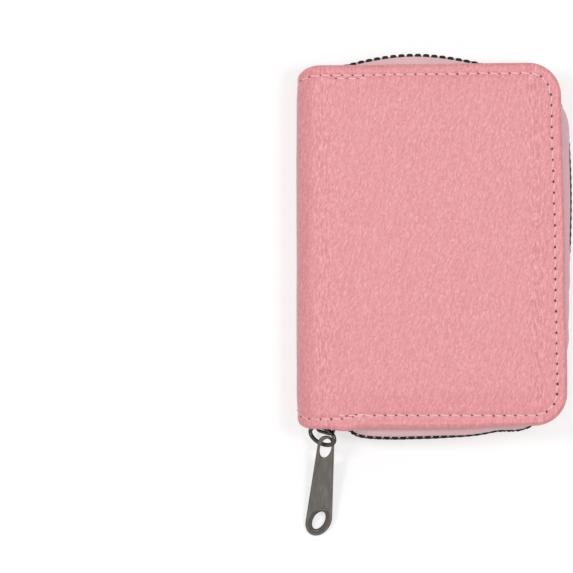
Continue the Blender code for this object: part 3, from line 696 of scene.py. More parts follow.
def finish_piece(obj, body, slot, *nodes):
    """Puts a piece on its body and hides the plain solids it stands for; the slot is not used."""
    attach(obj, body)
    if nodes:
        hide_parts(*nodes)


def finish_fold(obj, name, slot, *nodes):
    """Bakes the placing of a piece of one of the two folds beside the spine into its mesh, and hides the
    plain solids it stands for; the slot is not used.
    """
    shoulder = COVER_DEPTH / 2
    low = Vector((SEAM_X - shoulder, 0, shoulder))
    high = Vector((SPINE_X + shoulder, 0, FOLD_RADIUS - shoulder))
    if name == "back":
        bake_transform(obj)
    else:
        low.z = THICKNESS - low.z
        high.z = THICKNESS - high.z
        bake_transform(obj)
    if nodes:
        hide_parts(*nodes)


# Stitching

THREAD_RADIUS = 0.24 * MM
HOLE_SIZE = (0.36 * MM, 0.25 * MM)
HOLE_DEPTH = 0.25 * MM
STITCH_ARCH = 0.22 * MM
STITCH_SLANT = 0.17 * MM
THREAD_END = ((-31.6 * MM, -51.6 * MM), (-31.8 * MM, -52.9 * MM), (-31.7 * MM, -54.2 * MM))

# Where the seam's two ends were sewn over twice, on the front cover: first and last place
BACK_STITCHES = (
    ("head", (-28.9 * MM, 50.85 * MM), (-18.9 * MM, 51.0 * MM)),
    ("tail", (-28.6 * MM, -50.9 * MM), (-19.9 * MM, -51.6 * MM)),
)


def wrap_place(u, end, inset):
    """Place and outward way on the leather's face at the hem, at a distance from the spine's middle."""
    x, z, nx, nz = wrap(u)
    y = end * (HALF_HEIGHT - headcap_dip(u, end) - inset)
    out = Vector((-nx, 0, -nz))
    return Vector((x, y, z)) + out * (swell(u, inset) - GROOVE_DEPTH * 0.5), out


def cover_place(side, x, y):
    """Place and outward way on a cover's face."""
    out = Vector((0, 0, side))
    u = side * (SEAM_U + x - SEAM_X)
    lift = dome(u, edge_distance(x, y)) + wrinkles(u, y) - GROOVE_DEPTH * 0.5
    return Vector((*settle(x, y), MID_Z + side * (MID_Z + lift))), out


def capsule(points, faces, start, end, out, radius, flatten, arch):
    """One stitch: a short thread from one needle hole to the next, round but pressed a little flat."""
    rings, sides = 7, 6
    axis = end - start
    side = axis.cross(out).normalized()
    faces += tube_faces(rings, sides, len(points))
    for i in range(rings):
        t = i / (rings - 1)
        thick = radius * math.sin(math.pi * (0.06 + 0.88 * t)) ** 0.4
        centre = start + axis * t + out * (arch * math.sin(math.pi * t) - arch * 0.4)
        points += [centre + side * (thick * c) + out * (thick * flatten * s) for c, s in circle(sides)]


def needle_hole(points, faces, place, along, out, length, width):
    """A small dark pit where the thread goes down, as a flat cone with its point sunk; its dark colour is
    painted shade.
    """
    side = along.cross(out).normalized()
    base = len(points)
    sides = 8
    points += [place + along * (length * c) + side * (width * s) for c, s in circle(sides)]
    points.append(place - out * HOLE_DEPTH)
    faces += [(base + k, base + (k + 1) % sides, base + sides) for k in range(sides)]
    faces.append(tuple(base + k for k in reversed(range(sides))))


def stitch_line(places, rng):
    """Stitches and holes along (place, outward) pairs one pitch apart, as two (points, faces) pairs."""
    threads = ([], [])
    holes = ([], [])
    for (a, out_a), (b, out_b) in zip(places, places[1:]):
        along = (b - a).normalized()
        out = (out_a + out_b).normalized()
        side = along.cross(out)
        shift = side * rng.uniform(-0.09, 0.09) * MM
        slant = side * (STITCH_SLANT + rng.uniform(-0.07, 0.07) * MM)
        trim = along * (0.30 + rng.uniform(-0.04, 0.10)) * MM
        start = a + trim + shift - slant
        end = b - trim + shift + slant
        capsule(*threads, start, end, out, THREAD_RADIUS, 0.8, STITCH_ARCH)
        size = rng.uniform(0.7, 1.0) + 0.3 * abs(along.y)
        length, width = (size * extent for extent in HOLE_SIZE)
        needle_hole(*holes, a + out * 0.12 * MM + shift, along, out, length, width)
    return threads, holes


def walk(points, pitch):
    """Points an even distance apart along a line of points."""
    total = lengths_along(points)
    count = round(total[-1] / pitch)
    places = []
    k = 0
    for i in range(count + 1):
        want = total[-1] * i / count
        while k < len(total) - 2 and total[k + 1] < want:
            k += 1
        share = (want - total[k]) / (total[k + 1] - total[k])
        places.append(points[k].lerp(points[k + 1], share))
    return places


def seam_stops(low, high):
    """Distances from the spine's middle, about one stitch apart, between two of them."""
    return spread(low, high, round(abs(high - low) / STITCH_PITCH))


def add_stitches(name, places, rng, materials, finish, carrier, slot="pink_leather"):
    """Builds one run of stitching as a thread piece and a piece of needle holes."""
    for suffix, mesh, material in zip(("stitches", "needle_holes"), stitch_line(places, rng), materials):
        finish(smooth(add_mesh(name + "_" + suffix, *mesh, material), 60), carrier, slot)


def add_thread_end(thread):
    """The seam's cut end, lying across the hem."""
    places = [cover_place(1, *p) for p in THREAD_END]
    points, faces = [], []
    for (a, out), (b, _) in zip(places, places[1:]):
        lift = out * (GROOVE_DEPTH + 0.1 * MM)
        capsule(points, faces, a + lift, b + lift, out, 0.55 * THREAD_RADIUS, 1.0, 0.1 * MM)
    end = smooth(add_mesh("thread_end", points, faces, thread), 60)
    finish_piece(end, "front_cover", "pink_leather")


def make_stitching(thread, loose, dark):
    rng = random.Random(7)
    sewn = (thread, dark)
    for name, side in SIDES:
        places = [cover_place(side, *p) for p in walk(cover_outline(STITCH_INSET), STITCH_PITCH)]
        add_stitches(name + "_cover", places, rng, sewn, finish_piece, name + "_cover")
        for label, end in ENDS:
            places = [wrap_place(u, end, STITCH_INSET) for u in seam_stops(side * SEAM_U, side * SPINE_FLAT)]
            add_stitches(name + "_fold_" + label, places, rng, sewn, finish_fold, name)
    for label, start, end in BACK_STITCHES:
        places = [cover_place(1, *p) for p in line_points(start, end, 3)]
        add_stitches("back_stitch_" + label, places, rng, (loose, dark), finish_piece, "front_cover")
    add_thread_end(loose)
    for label, end in ENDS:
        places = [wrap_place(u, end, STITCH_INSET) for u in seam_stops(-SPINE_FLAT, SPINE_FLAT)]
        add_stitches("spine_" + label, places, rng, sewn, finish_piece, "spine")


# Zip track


def angle_of(vector):
    return math.atan2(vector.y, vector.x)


def corner_centre(side_centre, sign):
    """Centre of the corner arc that touches a side run and the fore-edge run from inside."""
    ra = SIDE_RUN_RADIUS - TRACK_CORNER_RADIUS
    rb = FORE_RUN_RADIUS - TRACK_CORNER_RADIUS
    span = FORE_CENTRE - side_centre
    distance = span.length
    along = (ra * ra - rb * rb + distance * distance) / (2 * distance)
    across = math.sqrt(ra * ra - along * along)
    unit = span / distance
    foot = side_centre + unit * along
    normal = Vector((-unit.y, unit.x))
    return max((foot + normal * across, foot - normal * across), key=lambda end: sign * end.y)


def run_angle(x, bulge_x):
    """How far round its arc a place on a side run lies from the arc's middle."""
    return math.asin((x - bulge_x) / SIDE_RUN_RADIUS)


def track_arcs():
    """The zip track's arcs in order, from the lower spine end round to the upper one."""
    low_corner = corner_centre(LOWER_CENTRE, -1)
    high_corner = corner_centre(UPPER_CENTRE, 1)
    runs = ((LOWER_CENTRE, SIDE_RUN_RADIUS), (low_corner, TRACK_CORNER_RADIUS),
            (FORE_CENTRE, FORE_RUN_RADIUS), (high_corner, TRACK_CORNER_RADIUS),
            (UPPER_CENTRE, SIDE_RUN_RADIUS))
    angles = (-math.pi / 2 + run_angle(TRACK_START_X, LOWER_BULGE_X),
              angle_of(low_corner - LOWER_CENTRE), angle_of(low_corner - FORE_CENTRE),
              angle_of(high_corner - FORE_CENTRE), angle_of(high_corner - UPPER_CENTRE),
              math.pi / 2 - run_angle(TRACK_START_X, UPPER_BULGE_X))
    return [(*run, start, end) for run, start, end in zip(runs, angles, angles[1:])]


TRACK = track_arcs()
TRACK_LENGTH = sum(radius * (end - start) for _, radius, start, end in TRACK)


def track_point(distance):
    """Place and outward direction on the track, at a distance from its lower start."""
    for centre, radius, start, end in TRACK:
        length = radius * (end - start)
        if distance <= length or centre == TRACK[-1][0]:
            angle = start + distance / radius
            outward = Vector((math.cos(angle), math.sin(angle)))
            return centre + outward * radius, outward
        distance -= length


def chain_bulge(place, side):
    """How far the zip stands out beyond its plain arcs: at the head, the fore-edge and by the slider."""
    x, y = place
    head = (1.15 if side > 0 else 0.70) * bell(x, -6, 17) - 0.25
    fore = 0.38 * bell(y, 10, 30)
    tail = 1.9 * bell(x, -20, 9) + 0.65 * rise(x, -18, 10) + 0.5 * rise(x, 3, 14) + 1.9 * rise(x, 18.5, 10)
    return (head * rise(x, -33, 12) * rise(y, 45, 9) + fore * rise(x, 34, 6)
            + tail * rise(x, -27.5, 6) * rise(-y, 42, 9)) * MM


def chain_point(distance, side):
    """Place and outward direction on one half of the zip, at a distance from its lower start."""
    place, outward = track_point(distance)
    return place + outward * chain_bulge(place, side), outward


def tape_set_in(place):
    """How far the tape lies inside the chain's middle; less than nothing where it billows over it."""
    x, y = place
    fore = rise(x, 34, 6) * (0.40 + 0.65 * bell(y, 38, 8))
    return (0.25 - fore - 0.35 * rise(x, 0, 12) * rise(-y, 42, 9)) * MM


def tape_belly(foot, place):
    """How far the tape bellies out between its seam and the chain, which it hides low on the fore-edge."""
    along = rise(-place.y, -8, 14) * rise(place.y, -48, 10)
    reach = FORE_X + 0.85 * MM - foot.x - 0.73 * (place.x - foot.x)
    return along * rise(place.x, 30, 5) * min(max(reach, 0.0), 3.0 * MM)


def slider_distance():
    return SIDE_RUN_RADIUS * (run_angle(SLIDER_X, LOWER_BULGE_X) - run_angle(TRACK_START_X, LOWER_BULGE_X))


TAPE_MARGIN = 3.4 * MM
TAPE_LAP = 7.2 * MM
TAPE_FOOT = 0.8 * MM
TAPE_THICKNESS = 0.32 * MM
TAPE_RIPPLE = 0.10 * MM
TAPE_RIPPLE_LENGTH = 9 * MM
TAPE_STEPS = 9
TOOTH_LEAD = 0.42 * MM
SEWN_Z = COVER_DEPTH - 0.25 * MM
CORD_LOW = 2.3 * MM
CORD_RISE = 0.62 * MM
CORD_RADIUS = 0.42 * MM
TAPE_TOP = MID_Z - 1.3 * MM
TAPE_STRAIGHT = MID_Z - 4.5 * MM


def tape_foot(place):
    """Where the tape turns up inside the cover's edge, and the direction inward from it."""
    core = Vector((min(place.x, CORNER_X), max(-CORNER_Y, min(CORNER_Y, place.y))))
    outward = (place - core).normalized()
    return core + outward * (FORE_RADIUS - TAPE_MARGIN), -outward


def tape_section(place, distance):
    """The points of a tape's section, from its sewn margin up to the cord."""
    foot, inward = tape_foot(place)
    belly = tape_belly(foot, place) + TAPE_RIPPLE * math.sin(2 * math.pi * distance / TAPE_RIPPLE_LENGTH)
    top = place + inward * tape_set_in(place)
    low = SEWN_Z + TAPE_FOOT
    section = [(foot + inward * inset, SEWN_Z) for inset in (TAPE_LAP - TAPE_MARGIN, 2.4 * MM, TAPE_FOOT)]
    for share in spread(0.0, 1.0, TAPE_STEPS):
        flat = foot.lerp(top, math.sin(share * math.pi / 2)) - inward * belly * math.sin(math.pi * share)
        section.append((flat, low + (TAPE_STRAIGHT - low) * share))
    section += [(top, TAPE_STRAIGHT + (TAPE_TOP - TAPE_STRAIGHT) * 0.4), (top, TAPE_TOP)]
    return [Vector((*flat, z)) for flat, z in section]


def make_tape(name, side, outer, inner):
    pairs = []
    for distance in spread(0.0, TRACK_LENGTH, TRACK_STEPS):
        section = tape_section(chain_point(distance, side)[0], distance)
        pairs += [(point, (distance, t, 0.0)) for point, t in zip(section, lengths_along(section))]
    faces = flipped(grid_faces(TRACK_STEPS + 1, len(section)), side < 0)
    obj = add_sheet(name + "_zip_tape", pairs, faces, outer, side)
    obj.data.materials.append(inner)
    # The solidified copy takes the second material, the inner side's salmon: painted shading of the same
    # tape
    thicken(obj, TAPE_THICKNESS, 0.0, 50, 1)
    finish_piece(obj, name + "_cover", "pale_tape", name + "_tape")


# Each row: height over the cord's foot, width along the chain and depth across it
TOOTH_SECTIONS = (
    (0.00, 1.40, 1.45),
    (0.10, 1.80, 1.72),
    (0.45, 2.02, 1.86),
    (1.00, 1.96, 1.80),
    (1.40, 1.30, 1.20),
    (2.10, 1.10, 1.00),
    (2.70, 0.82, 0.90),
    (3.10, 0.50, 0.70),
    (3.25, 0.20, 0.35),
)


def tooth(points, faces, frame_matrix):
    """One tooth: a clamp round the cord, a neck and a rounded head."""
    sides = 10
    faces += tube_faces(len(TOOTH_SECTIONS), sides, len(points))
    for height, width, depth in TOOTH_SECTIONS:
        for c, s in circle(sides):
            x = width / 2 * math.copysign(abs(c) ** 0.6, c)
            y = depth / 2 * math.copysign(abs(s) ** 0.6, s)
            points.append(frame_matrix @ Vector((x * MM, y * MM, height * MM - CORD_LOW)))


def zip_frame(place, outward):
    """A frame at mid thickness: X along the zip, Y outward from it, Z up."""
    return Matrix(((-outward.y, outward.x, 0, place.x), (outward.x, outward.y, 0, place.y),
                   (0, 0, 1, MID_Z), (0, 0, 0, 1)))


def make_teeth(name, side, material, cord_material):
    """A row of separate teeth, and the cord that they clamp."""
    start = slider_distance() + CHAIN_LEAD
    end = TRACK_LENGTH - CHAIN_END
    shift = 0.0 if side < 0 else TOOTH_PITCH / 2
    points = []
    faces = []
    for i in range(int((end - start - TOOTH_PITCH) / TOOTH_PITCH)):
        tooth(points, faces, zip_frame(*chain_point(start + shift + i * TOOTH_PITCH + TOOTH_LEAD, side)))
    teeth = add_mesh(name + "_zip_teeth", mirror_to(side, points), flipped(faces, side > 0), material)
    finish_piece(smooth(teeth, 50), name + "_cover", "black_teeth", name + "_teeth")
    cord = []
    sides = 8
    ring = [Vector((0, CORD_RADIUS * c, CORD_RADIUS * s - CORD_LOW + CORD_RISE)) for c, s in circle(sides)]
    for distance in spread(0.0, TRACK_LENGTH, TRACK_STEPS):
        matrix = zip_frame(*chain_point(distance, side))
        cord += [matrix @ point for point in ring]
    obj = add_tube(name + "_zip_cord", mirror_to(side, cord), sides, cord_material, side > 0)
    finish_piece(obj, name + "_cover", "pale_tape")


# Interior

MOUTH_EDGE = 0.5 * MM
MOUTH_CORNER = 2 * MM
LEAF_THICKNESS = 0.30 * MM
LEAF_WAVE = 0.55 * MM
LEAF_WAVE_SIZE = (26 * MM, 19 * MM)
HEM_SIZE = (0.42 * MM, 0.30 * MM)
HEM_SET_IN = 0.2 * MM
PLEAT_DEPTH = 6.2 * MM
PLEAT_THICKNESS = 0.16 * MM
PLEAT_BEND = 0.06 * MM
POCKET_SAG = 0.25 * MM


def leaf_names():
    return ["outer_leaf_back"] + ["leaf_%02d" % (i + 1) for i in range(18)] + ["outer_leaf_front"]


def leaf_wave(x, y):
    """The pocket walls' soft unevenness, alike on all of them so that they never meet."""
    reach = (x - LEAF_BASE_X) / (LEAF_MOUTH_X - LEAF_BASE_X)
    wide = noise.noise(Vector((x / LEAF_WAVE_SIZE[0], y / LEAF_WAVE_SIZE[1], 9.1)))
    return LEAF_WAVE * wide * ease(reach * 1.4)


def leaf_z(name):
    low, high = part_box(name)
    return (low.z + high.z) / 2


def make_leaf(name, fabric, edging):
    """A pocket wall: a thin wavy sheet with a folded hem at its mouth."""
    z = leaf_z(name)
    across, up, sides = 40, 60, 8
    calm = 0.4 if name.startswith("outer") else 1.0
    pairs = []
    hem = []
    for y in spread(-LEAF_HALF_WIDTH, LEAF_HALF_WIDTH, up):
        corner = max(0.0, abs(y) - LEAF_HALF_WIDTH + MOUTH_CORNER) / MOUTH_CORNER
        mouth = LEAF_MOUTH_X - MOUTH_CORNER * (1 - math.sqrt(max(0.0, 1 - corner * corner)))
        for x in spread(LEAF_BASE_X, mouth, across):
            pairs.append(((x, y, z + calm * leaf_wave(x, y)), (x, y, 0.0)))
        edge = Vector(pairs[-1][0])
        hem += [edge + Vector((HEM_SIZE[0] * c - HEM_SET_IN, 0, HEM_SIZE[1] * s)) for c, s in circle(sides)]
    sheet = add_sheet(name + "_sheet", pairs, grid_faces(up + 1, across + 1), fabric)
    thicken(sheet, LEAF_THICKNESS, 0.0, 50)
    finish_piece(sheet, name + "_wall", "black_fabric", name)
    finish_piece(add_tube(name + "_hem", hem, sides, edging), name + "_wall", "black_fabric")


def make_pleat(low_name, high_name, fabric, edging, number):
    """The cloth between two pocket walls: a pleat at each end and the pocket's floor."""
    low_z, high_z = leaf_z(low_name), leaf_z(high_name)
    # Shares of the way from wall to wall, each with how far it is folded out, and its height
    section = [(t, 1 - abs(2 * t - 1), low_z + (high_z - low_z) * t) for t in spread(0.0, 1.0, 4)]
    columns = len(section)
    steps = 24
    stops = spread(LEAF_BASE_X, LEAF_MOUTH_X - MOUTH_EDGE, steps) + [LEAF_MOUTH_X]
    pairs = []
    faces = []
    edge_faces = []
    for end in (-1, 1):
        faces += flipped(grid_faces(len(stops), columns, False, len(pairs)), end > 0)
        edge_faces += range(len(faces) - columns + 1, len(faces))
        for x in stops:
            for share, fold, z in section:
                y = end * (LEAF_HALF_WIDTH + PLEAT_DEPTH * fold)
                bend = PLEAT_BEND * math.sin(x / (4 * MM) + share * 3)
                place = (x, y + bend, z + leaf_wave(x, y) * (1 - 0.5 * fold))
                pairs.append((place, (x, abs(y) + share * 12 * MM, 0.0)))
    faces += flipped(grid_faces(steps + 1, columns, False, len(pairs)))
    for y in spread(-LEAF_HALF_WIDTH, LEAF_HALF_WIDTH, steps):
        for share, fold, z in section:
            pairs.append(((LEAF_BASE_X - POCKET_SAG * fold, y, z), (share * MM, y, 0.0)))
    obj = add_sheet("pleat_%02d" % number, pairs, faces, fabric)
    obj.data.materials.append(edging)
    for index in edge_faces:
        obj.data.polygons[index].material_index = 1
    thicken(obj, PLEAT_THICKNESS, 0.0, 50)
    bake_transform(obj)
    return obj


def make_accordion(fabric, edging, pleat_fabric):
    names = leaf_names()
    for name in names:
        make_leaf(name, fabric, edging)
    for number, (low, high) in enumerate(zip(names, names[1:])):
        pleat = make_pleat(low, high, pleat_fabric, edging, number + 1)
        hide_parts("gusset_lower", "gusset_upper", "accordion_base")


PANEL_FORE_INSET = 7.2 * MM
PANEL_END_INSET = 4.7 * MM
PANEL_RADIUS = 8.0 * MM
PANEL_STITCH_INSET = 1.8 * MM
PANEL_STITCH_PITCH = 2.6 * MM
PANEL_LIFT = 0.30 * MM
PANEL_THICKNESS = 0.22 * MM
PANEL_WAVE = 0.10 * MM
PANEL_WAVE_SIZE = (12 * MM, 15 * MM)
END_TAB_MARGIN = 0.5 * MM

# Across the panel's edge: distance in from it, and drop below the border's top
PANEL_EDGE = ((0.0, 0.50), (0.08, 0.22), (0.3, 0.05), (0.8, 0.0), (1.3, 0.03), (1.6, 0.10), (1.8, 0.13),
              (2.0, 0.10), (2.3, 0.03), (2.6, 0.02), (3.3, 0.18), (4.2, 0.30))


def panel_outline(inset):
    return round_outline(SEAM_X + 0.3 * MM, FORE_X - PANEL_FORE_INSET - inset,
                         HALF_HEIGHT - PANEL_END_INSET - inset, PANEL_RADIUS - inset)


def make_panel(name, side, lining, thread):
    """A cover's lining: a soft panel with its edge turned under, sewn down over the tape's margin."""
    top = COVER_DEPTH + PANEL_LIFT

    def pair(place, height):
        return (place.x, place.y, height), (place.x, place.y, 0.0)

    def soft_pair(place):
        wide = noise.noise(Vector((place.x / PANEL_WAVE_SIZE[0], place.y / PANEL_WAVE_SIZE[1], 5.0)))
        return pair(place, top - PANEL_LIFT + PANEL_WAVE * wide)

    pairs = []
    for distance, drop in PANEL_EDGE:
        ring = panel_outline(distance * MM)
        pairs += [pair(place, top - drop * MM) for place in ring]
    faces = grid_faces(len(PANEL_EDGE), len(ring))
    fill_patch(pairs, faces, ring, soft_pair)
    obj = add_sheet(name + "_lining_panel", pairs, flipped(faces, side > 0), lining, side)
    thicken(obj, PANEL_THICKNESS)
    finish_piece(obj, name + "_cover", "mauve_lining", name + "_lining")
    height = MID_Z + side * (MID_Z - top + 0.1 * MM)
    line = walk(panel_outline(PANEL_STITCH_INSET), PANEL_STITCH_PITCH)
    places = [(Vector((*p, height)), Vector((0, 0, -side))) for p in line]
    add_stitches(name + "_lining", places, random.Random(3), (thread, thread), finish_piece,
                 name + "_cover", "mauve_lining")


def soft_box(name, low, high, material, radius):
    """A box with rounded edges between two corners."""
    bm = bmesh.new()
    bmesh.ops.create_cube(bm, size=1.0)
    bmesh.ops.scale(bm, vec=Vector(high) - Vector(low), verts=bm.verts)
    bmesh.ops.translate(bm, vec=(Vector(low) + Vector(high)) / 2, verts=bm.verts)
    bmesh.ops.bevel(bm, geom=bm.edges[:], offset=radius, segments=2, affect="EDGES", clamp_overlap=True)
    mesh = bpy.data.meshes.new(name)
    bm.to_mesh(mesh)
    bm.free()
    dress(mesh, material)
    return smooth(set_rest(link_object(name, mesh)), 40)


def make_spine_inside(lining, tab, board):
    strip = soft_box("spine_lining_strip", *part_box("spine_lining"), lining, 0.15 * MM)
    finish_piece(strip, "spine", "mauve_lining", "spine_lining")
    for label, end in (("lower", -1), ("upper", 1)):
        low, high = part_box("end_tab_" + label)
        corner = low if end < 0 else high
        corner.y = end * (HALF_HEIGHT - HEADCAP_DIP[end] - END_TAB_MARGIN)
        piece = soft_box("end_tab_patch_" + label, low, high, tab, 0.12 * MM)
        finish_piece(piece, "spine", "taupe_fabric", "end_tab_" + label)
    low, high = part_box("spine_board")
    low.y += HEADCAP_DIP[-1]
    high.y -= HEADCAP_DIP[1]
    stiffener = soft_box("spine_stiffener", low, high, board, 0.1 * MM)
    finish_piece(stiffener, "spine", "grey_board", "spine_board")


# Metal


RING_WIRE = (1.36 * MM, 1.20 * MM)
RING_HALF_WIDTH = 5.9 * MM
RING_HALF_LENGTH = 2.7 * MM
RING_TILT = math.radians(50.0)
RING_DROOP = math.radians(25.0)
RING_NEAR = 2.5 * MM
RING_SHIFT = (-1.2 * MM, -1.1 * MM)
PULL_THICKNESS = 0.9 * MM
PULL_EXTRA = 1.4 * MM
PULL_RISE = 0.5 * MM
PULL_LENGTH = 31.5 * MM
PULL_SEAT = 2.4 * MM
PULL_LEAN = math.radians(-5.3)
PULL_FLOOR_CLEARANCE = 0.1 * MM
PULL_TIP_EYE = (3.6 * MM, 6.4 * MM)
PULL_TIP_RIM = 2.0 * MM
PULL_TIP_SLANT = math.radians(20.0)
PULL_TOP_WIDTH = 5.0 * MM
PULL_EYE = (3.4 * MM, 6.4 * MM)
PULL_EYE_TOP = 0.8 * MM
PULL_EYE_SLANT = math.radians(8.0)
PULL_SHIFT = -0.25 * MM
PULL_EDGE = 0.26 * MM
RIM_HALF_WIDTH = 0.70 * MM
RIM_HEIGHT = 0.26 * MM


def sweep_ring(name, path, half_width, half_height, material, matrix, sides=14):
    """A closed bead of oval section round a flat loop of points, placed by a matrix."""
    points = []
    count = len(path)
    for i, p in enumerate(path):
        ahead = path[(i + 1) % count] - path[i - 1]
        out = Vector((ahead.y, -ahead.x)).normalized()
        for c, s in circle(sides):
            points.append(matrix @ Vector((*(p + out * (half_width * c)), half_height * s)))
    faces = [tuple(v % len(points) for v in face) for face in grid_faces(count + 1, sides, True)]
    return smooth(add_mesh(name, points, faces, material), 60)


def oval_loop(half_width, half_length, centre_y=0.0, slant=0.0, steps=64):
    """A flat oval loop, its top leaning to the right by slant."""
    loop = []
    for i in range(steps):
        a = -2 * math.pi * i / steps
        across = half_width * math.cos(a)
        along = half_length * math.sin(a)
        loop.append(Vector((across * math.cos(slant) + along * math.sin(slant),
                            centre_y + along * math.cos(slant) - across * math.sin(slant))))
    return loop


def ring_matrix():
    """The ring's own frame, at its middle."""
    slider = zip_frame(*track_point(slider_distance()))
    tilt = Matrix.Rotation(-RING_TILT, 4, "Y")
    droop = Matrix.Rotation(-RING_DROOP, 4, "X")
    near = slider @ Matrix.Translation((RING_SHIFT[0], RING_NEAR, RING_SHIFT[1])) @ tilt @ droop
    return near @ Matrix.Translation((0, RING_HALF_LENGTH, 0))


def make_ring(metal):
    loop = oval_loop(RING_HALF_WIDTH, RING_HALF_LENGTH, steps=96)
    ring = sweep_ring("ring_wire", loop, RING_WIRE[0] / 2, RING_WIRE[1] / 2, metal, ring_matrix(), 16)
    finish_piece(ring, "ring", "dark_metal", "pull_ring")


def pull_matrix():
    """The pull's own frame: its eye on the ring's far wire, its tip down by the floor."""
    swing = next(joint for joint in frame["joints"] if joint["name"] == "pull_swing")
    hinge = Vector(swing["pos_m"])
    tip_drop = hinge.z - PULL_FLOOR_CLEARANCE - PULL_THICKNESS / 2
    droop = math.asin(tip_drop / (PULL_LENGTH - PULL_SEAT))
    lean = Matrix.Rotation(PULL_LEAN, 4, "Z") @ Matrix.Rotation(droop, 4, "X")
    return Matrix.Translation(hinge) @ lean @ Matrix.Translation((PULL_SHIFT, PULL_SEAT + PULL_RISE, 0))


def plate(name, loops, thickness, edge, materials, matrix):
    """A flat plate with rounded edges; the first loop is its outline and the rest are its holes."""
    curve = bpy.data.curves.new(name, "CURVE")
    curve.dimensions = "2D"
    curve.fill_mode = "BOTH"
    curve.extrude = thickness / 2 - edge
    curve.bevel_depth = edge
    curve.bevel_resolution = 2
    curve.offset = -edge
    for loop in loops:
        spline = curve.splines.new("POLY")
        spline.points.add(len(loop) - 1)
        for point, place in zip(spline.points, loop):
            point.co = (place.x, place.y, 0, 1)
        spline.use_cyclic_u = True
    draft = link_object(name + "_draft", curve)
    mesh = bpy.data.meshes.new_from_object(draft.evaluated_get(bpy.context.evaluated_depsgraph_get()))
    bpy.data.objects.remove(draft)
    obj = link_object(name, mesh)
    dress(mesh, *materials)
    # Faces that do not face up or down take the second material; on the pull it is darker, as painted shade
    # on the edges
    for polygon in mesh.polygons:
        polygon.material_index = 0 if abs(polygon.normal.z) > 0.9 else 1
    set_rest(obj)
    mesh.transform(matrix)
    return smooth(obj, 50)


def make_pull(metal, shaded_edge_metal):
    """The flat pull with its two oval eyes, and the raised rim round the lower one; its edges and that rim
    are a darker gunmetal, as painted shade.
    """
    matrix = pull_matrix()
    half_width, half_height = PULL_TIP_EYE[0] / 2, PULL_TIP_EYE[1] / 2
    reach = math.hypot((half_width + PULL_TIP_RIM) * math.sin(PULL_TIP_SLANT),
                       (half_height + PULL_TIP_RIM) * math.cos(PULL_TIP_SLANT))
    tip_y = reach - PULL_LENGTH - PULL_EXTRA

    def tip_oval(rim):
        return oval_loop(half_width + rim, half_height + rim, tip_y, PULL_TIP_SLANT)

    top = PULL_TOP_WIDTH / 2
    bounds = oval_loop(top, top, -top) + tip_oval(PULL_TIP_RIM)
    outline = [bounds[i] for i in convex_hull_2d(bounds)]
    eye_y = -PULL_EYE_TOP - PULL_EYE[1] / 2
    eye = oval_loop(PULL_EYE[0] / 2, PULL_EYE[1] / 2, eye_y, PULL_EYE_SLANT)
    pull = plate("pull_plate", [outline, eye, tip_oval(0.0)], PULL_THICKNESS, PULL_EDGE,
                 (metal, shaded_edge_metal), matrix)
    finish_piece(pull, "pull", "dark_metal", "pull_tab")
    rim = sweep_ring("pull_tip_rim", tip_oval(RIM_HALF_WIDTH - 0.08 * MM), RIM_HALF_WIDTH,
                     PULL_THICKNESS / 2 + RIM_HEIGHT, shaded_edge_metal, matrix)
    finish_piece(rim, "pull", "dark_metal")


def dress_node(name, material):
    """Gives one of the frame's own solids its material."""
    node = frame["nodes"][name]
    dress(node.data, material)
    return set_rest(node)


def make_metal(metal, shaded_edge_metal, dark, black):
    """Rounds the slider's and the end stops' edges, and adds the ring and the pull."""
    dress_node("slider_crown", dark)
    for name, material, radius in (("slider_body", dark, 0.16), ("back_end_stop", black, 0.15),
                                   ("front_end_stop", black, 0.15)):
        bevel = dress_node(name, material).modifiers.new("rounded", "BEVEL")
        bevel.width = radius * MM
        bevel.segments = 3
        bevel.limit_method = "ANGLE"
        bevel.angle_limit = math.radians(38)
    make_ring(dark)
    make_pull(metal, shaded_edge_metal)


# Stage

CAMERA_X = -43.8 * MM
CAMERA_Y = -11.9 * MM
CAMERA_HEIGHT = 3000.0 * MM
VIEW_WIDTH = 173.1 * MM
SENSOR = 36.0
FLOOR_WHITE = 0.93
FLOOR_SEEN = 0.45
FLOOR_WHITE_LIFT = 0.60
FLOOR_REACH = 1.5
FLOOR_Z = -0.4 * MM
SKY_LOW = 0.40
SKY_HIGH = 0.60
WHITE = (1, 1, 1, 1)


def seen_in_things(nodes):
    """1 for rays in reflections and through glass, 0 for others."""
    glossy = nodes.node("LightPath", "Is Glossy Ray", {})
    return nodes.math("MAXIMUM", glossy, glossy.node.outputs["Is Transmission Ray"])


def make_floor():
    """A white floor. Where the camera sees it, part of its white is a glow, so shadows on it stay pale."""
    corners = [(FLOOR_REACH * x, FLOOR_REACH * y, FLOOR_Z) for x, y in ((-1, -1), (1, -1), (1, 1), (-1, 1))]
    floor = Surface("pale_floor", 0.9, specular=0.0)
    camera = floor.node("LightPath", "Is Camera Ray", {})
    grey = floor.node("MapRange", "Result", {"Value": camera, "To Min": FLOOR_WHITE, "To Max": FLOOR_SEEN})
    lift = floor.math("MULTIPLY", camera, FLOOR_WHITE_LIFT)
    floor.set({"Base Color": grey, "Emission Color": WHITE, "Emission Strength": lift})
    glow = floor.node("Emission", "Emission", {})
    floor.mix_shaders(seen_in_things(floor), floor.shader.outputs["BSDF"], glow, "Material Output")
    add_mesh("floor", corners, [(0, 1, 2, 3)], floor.material)


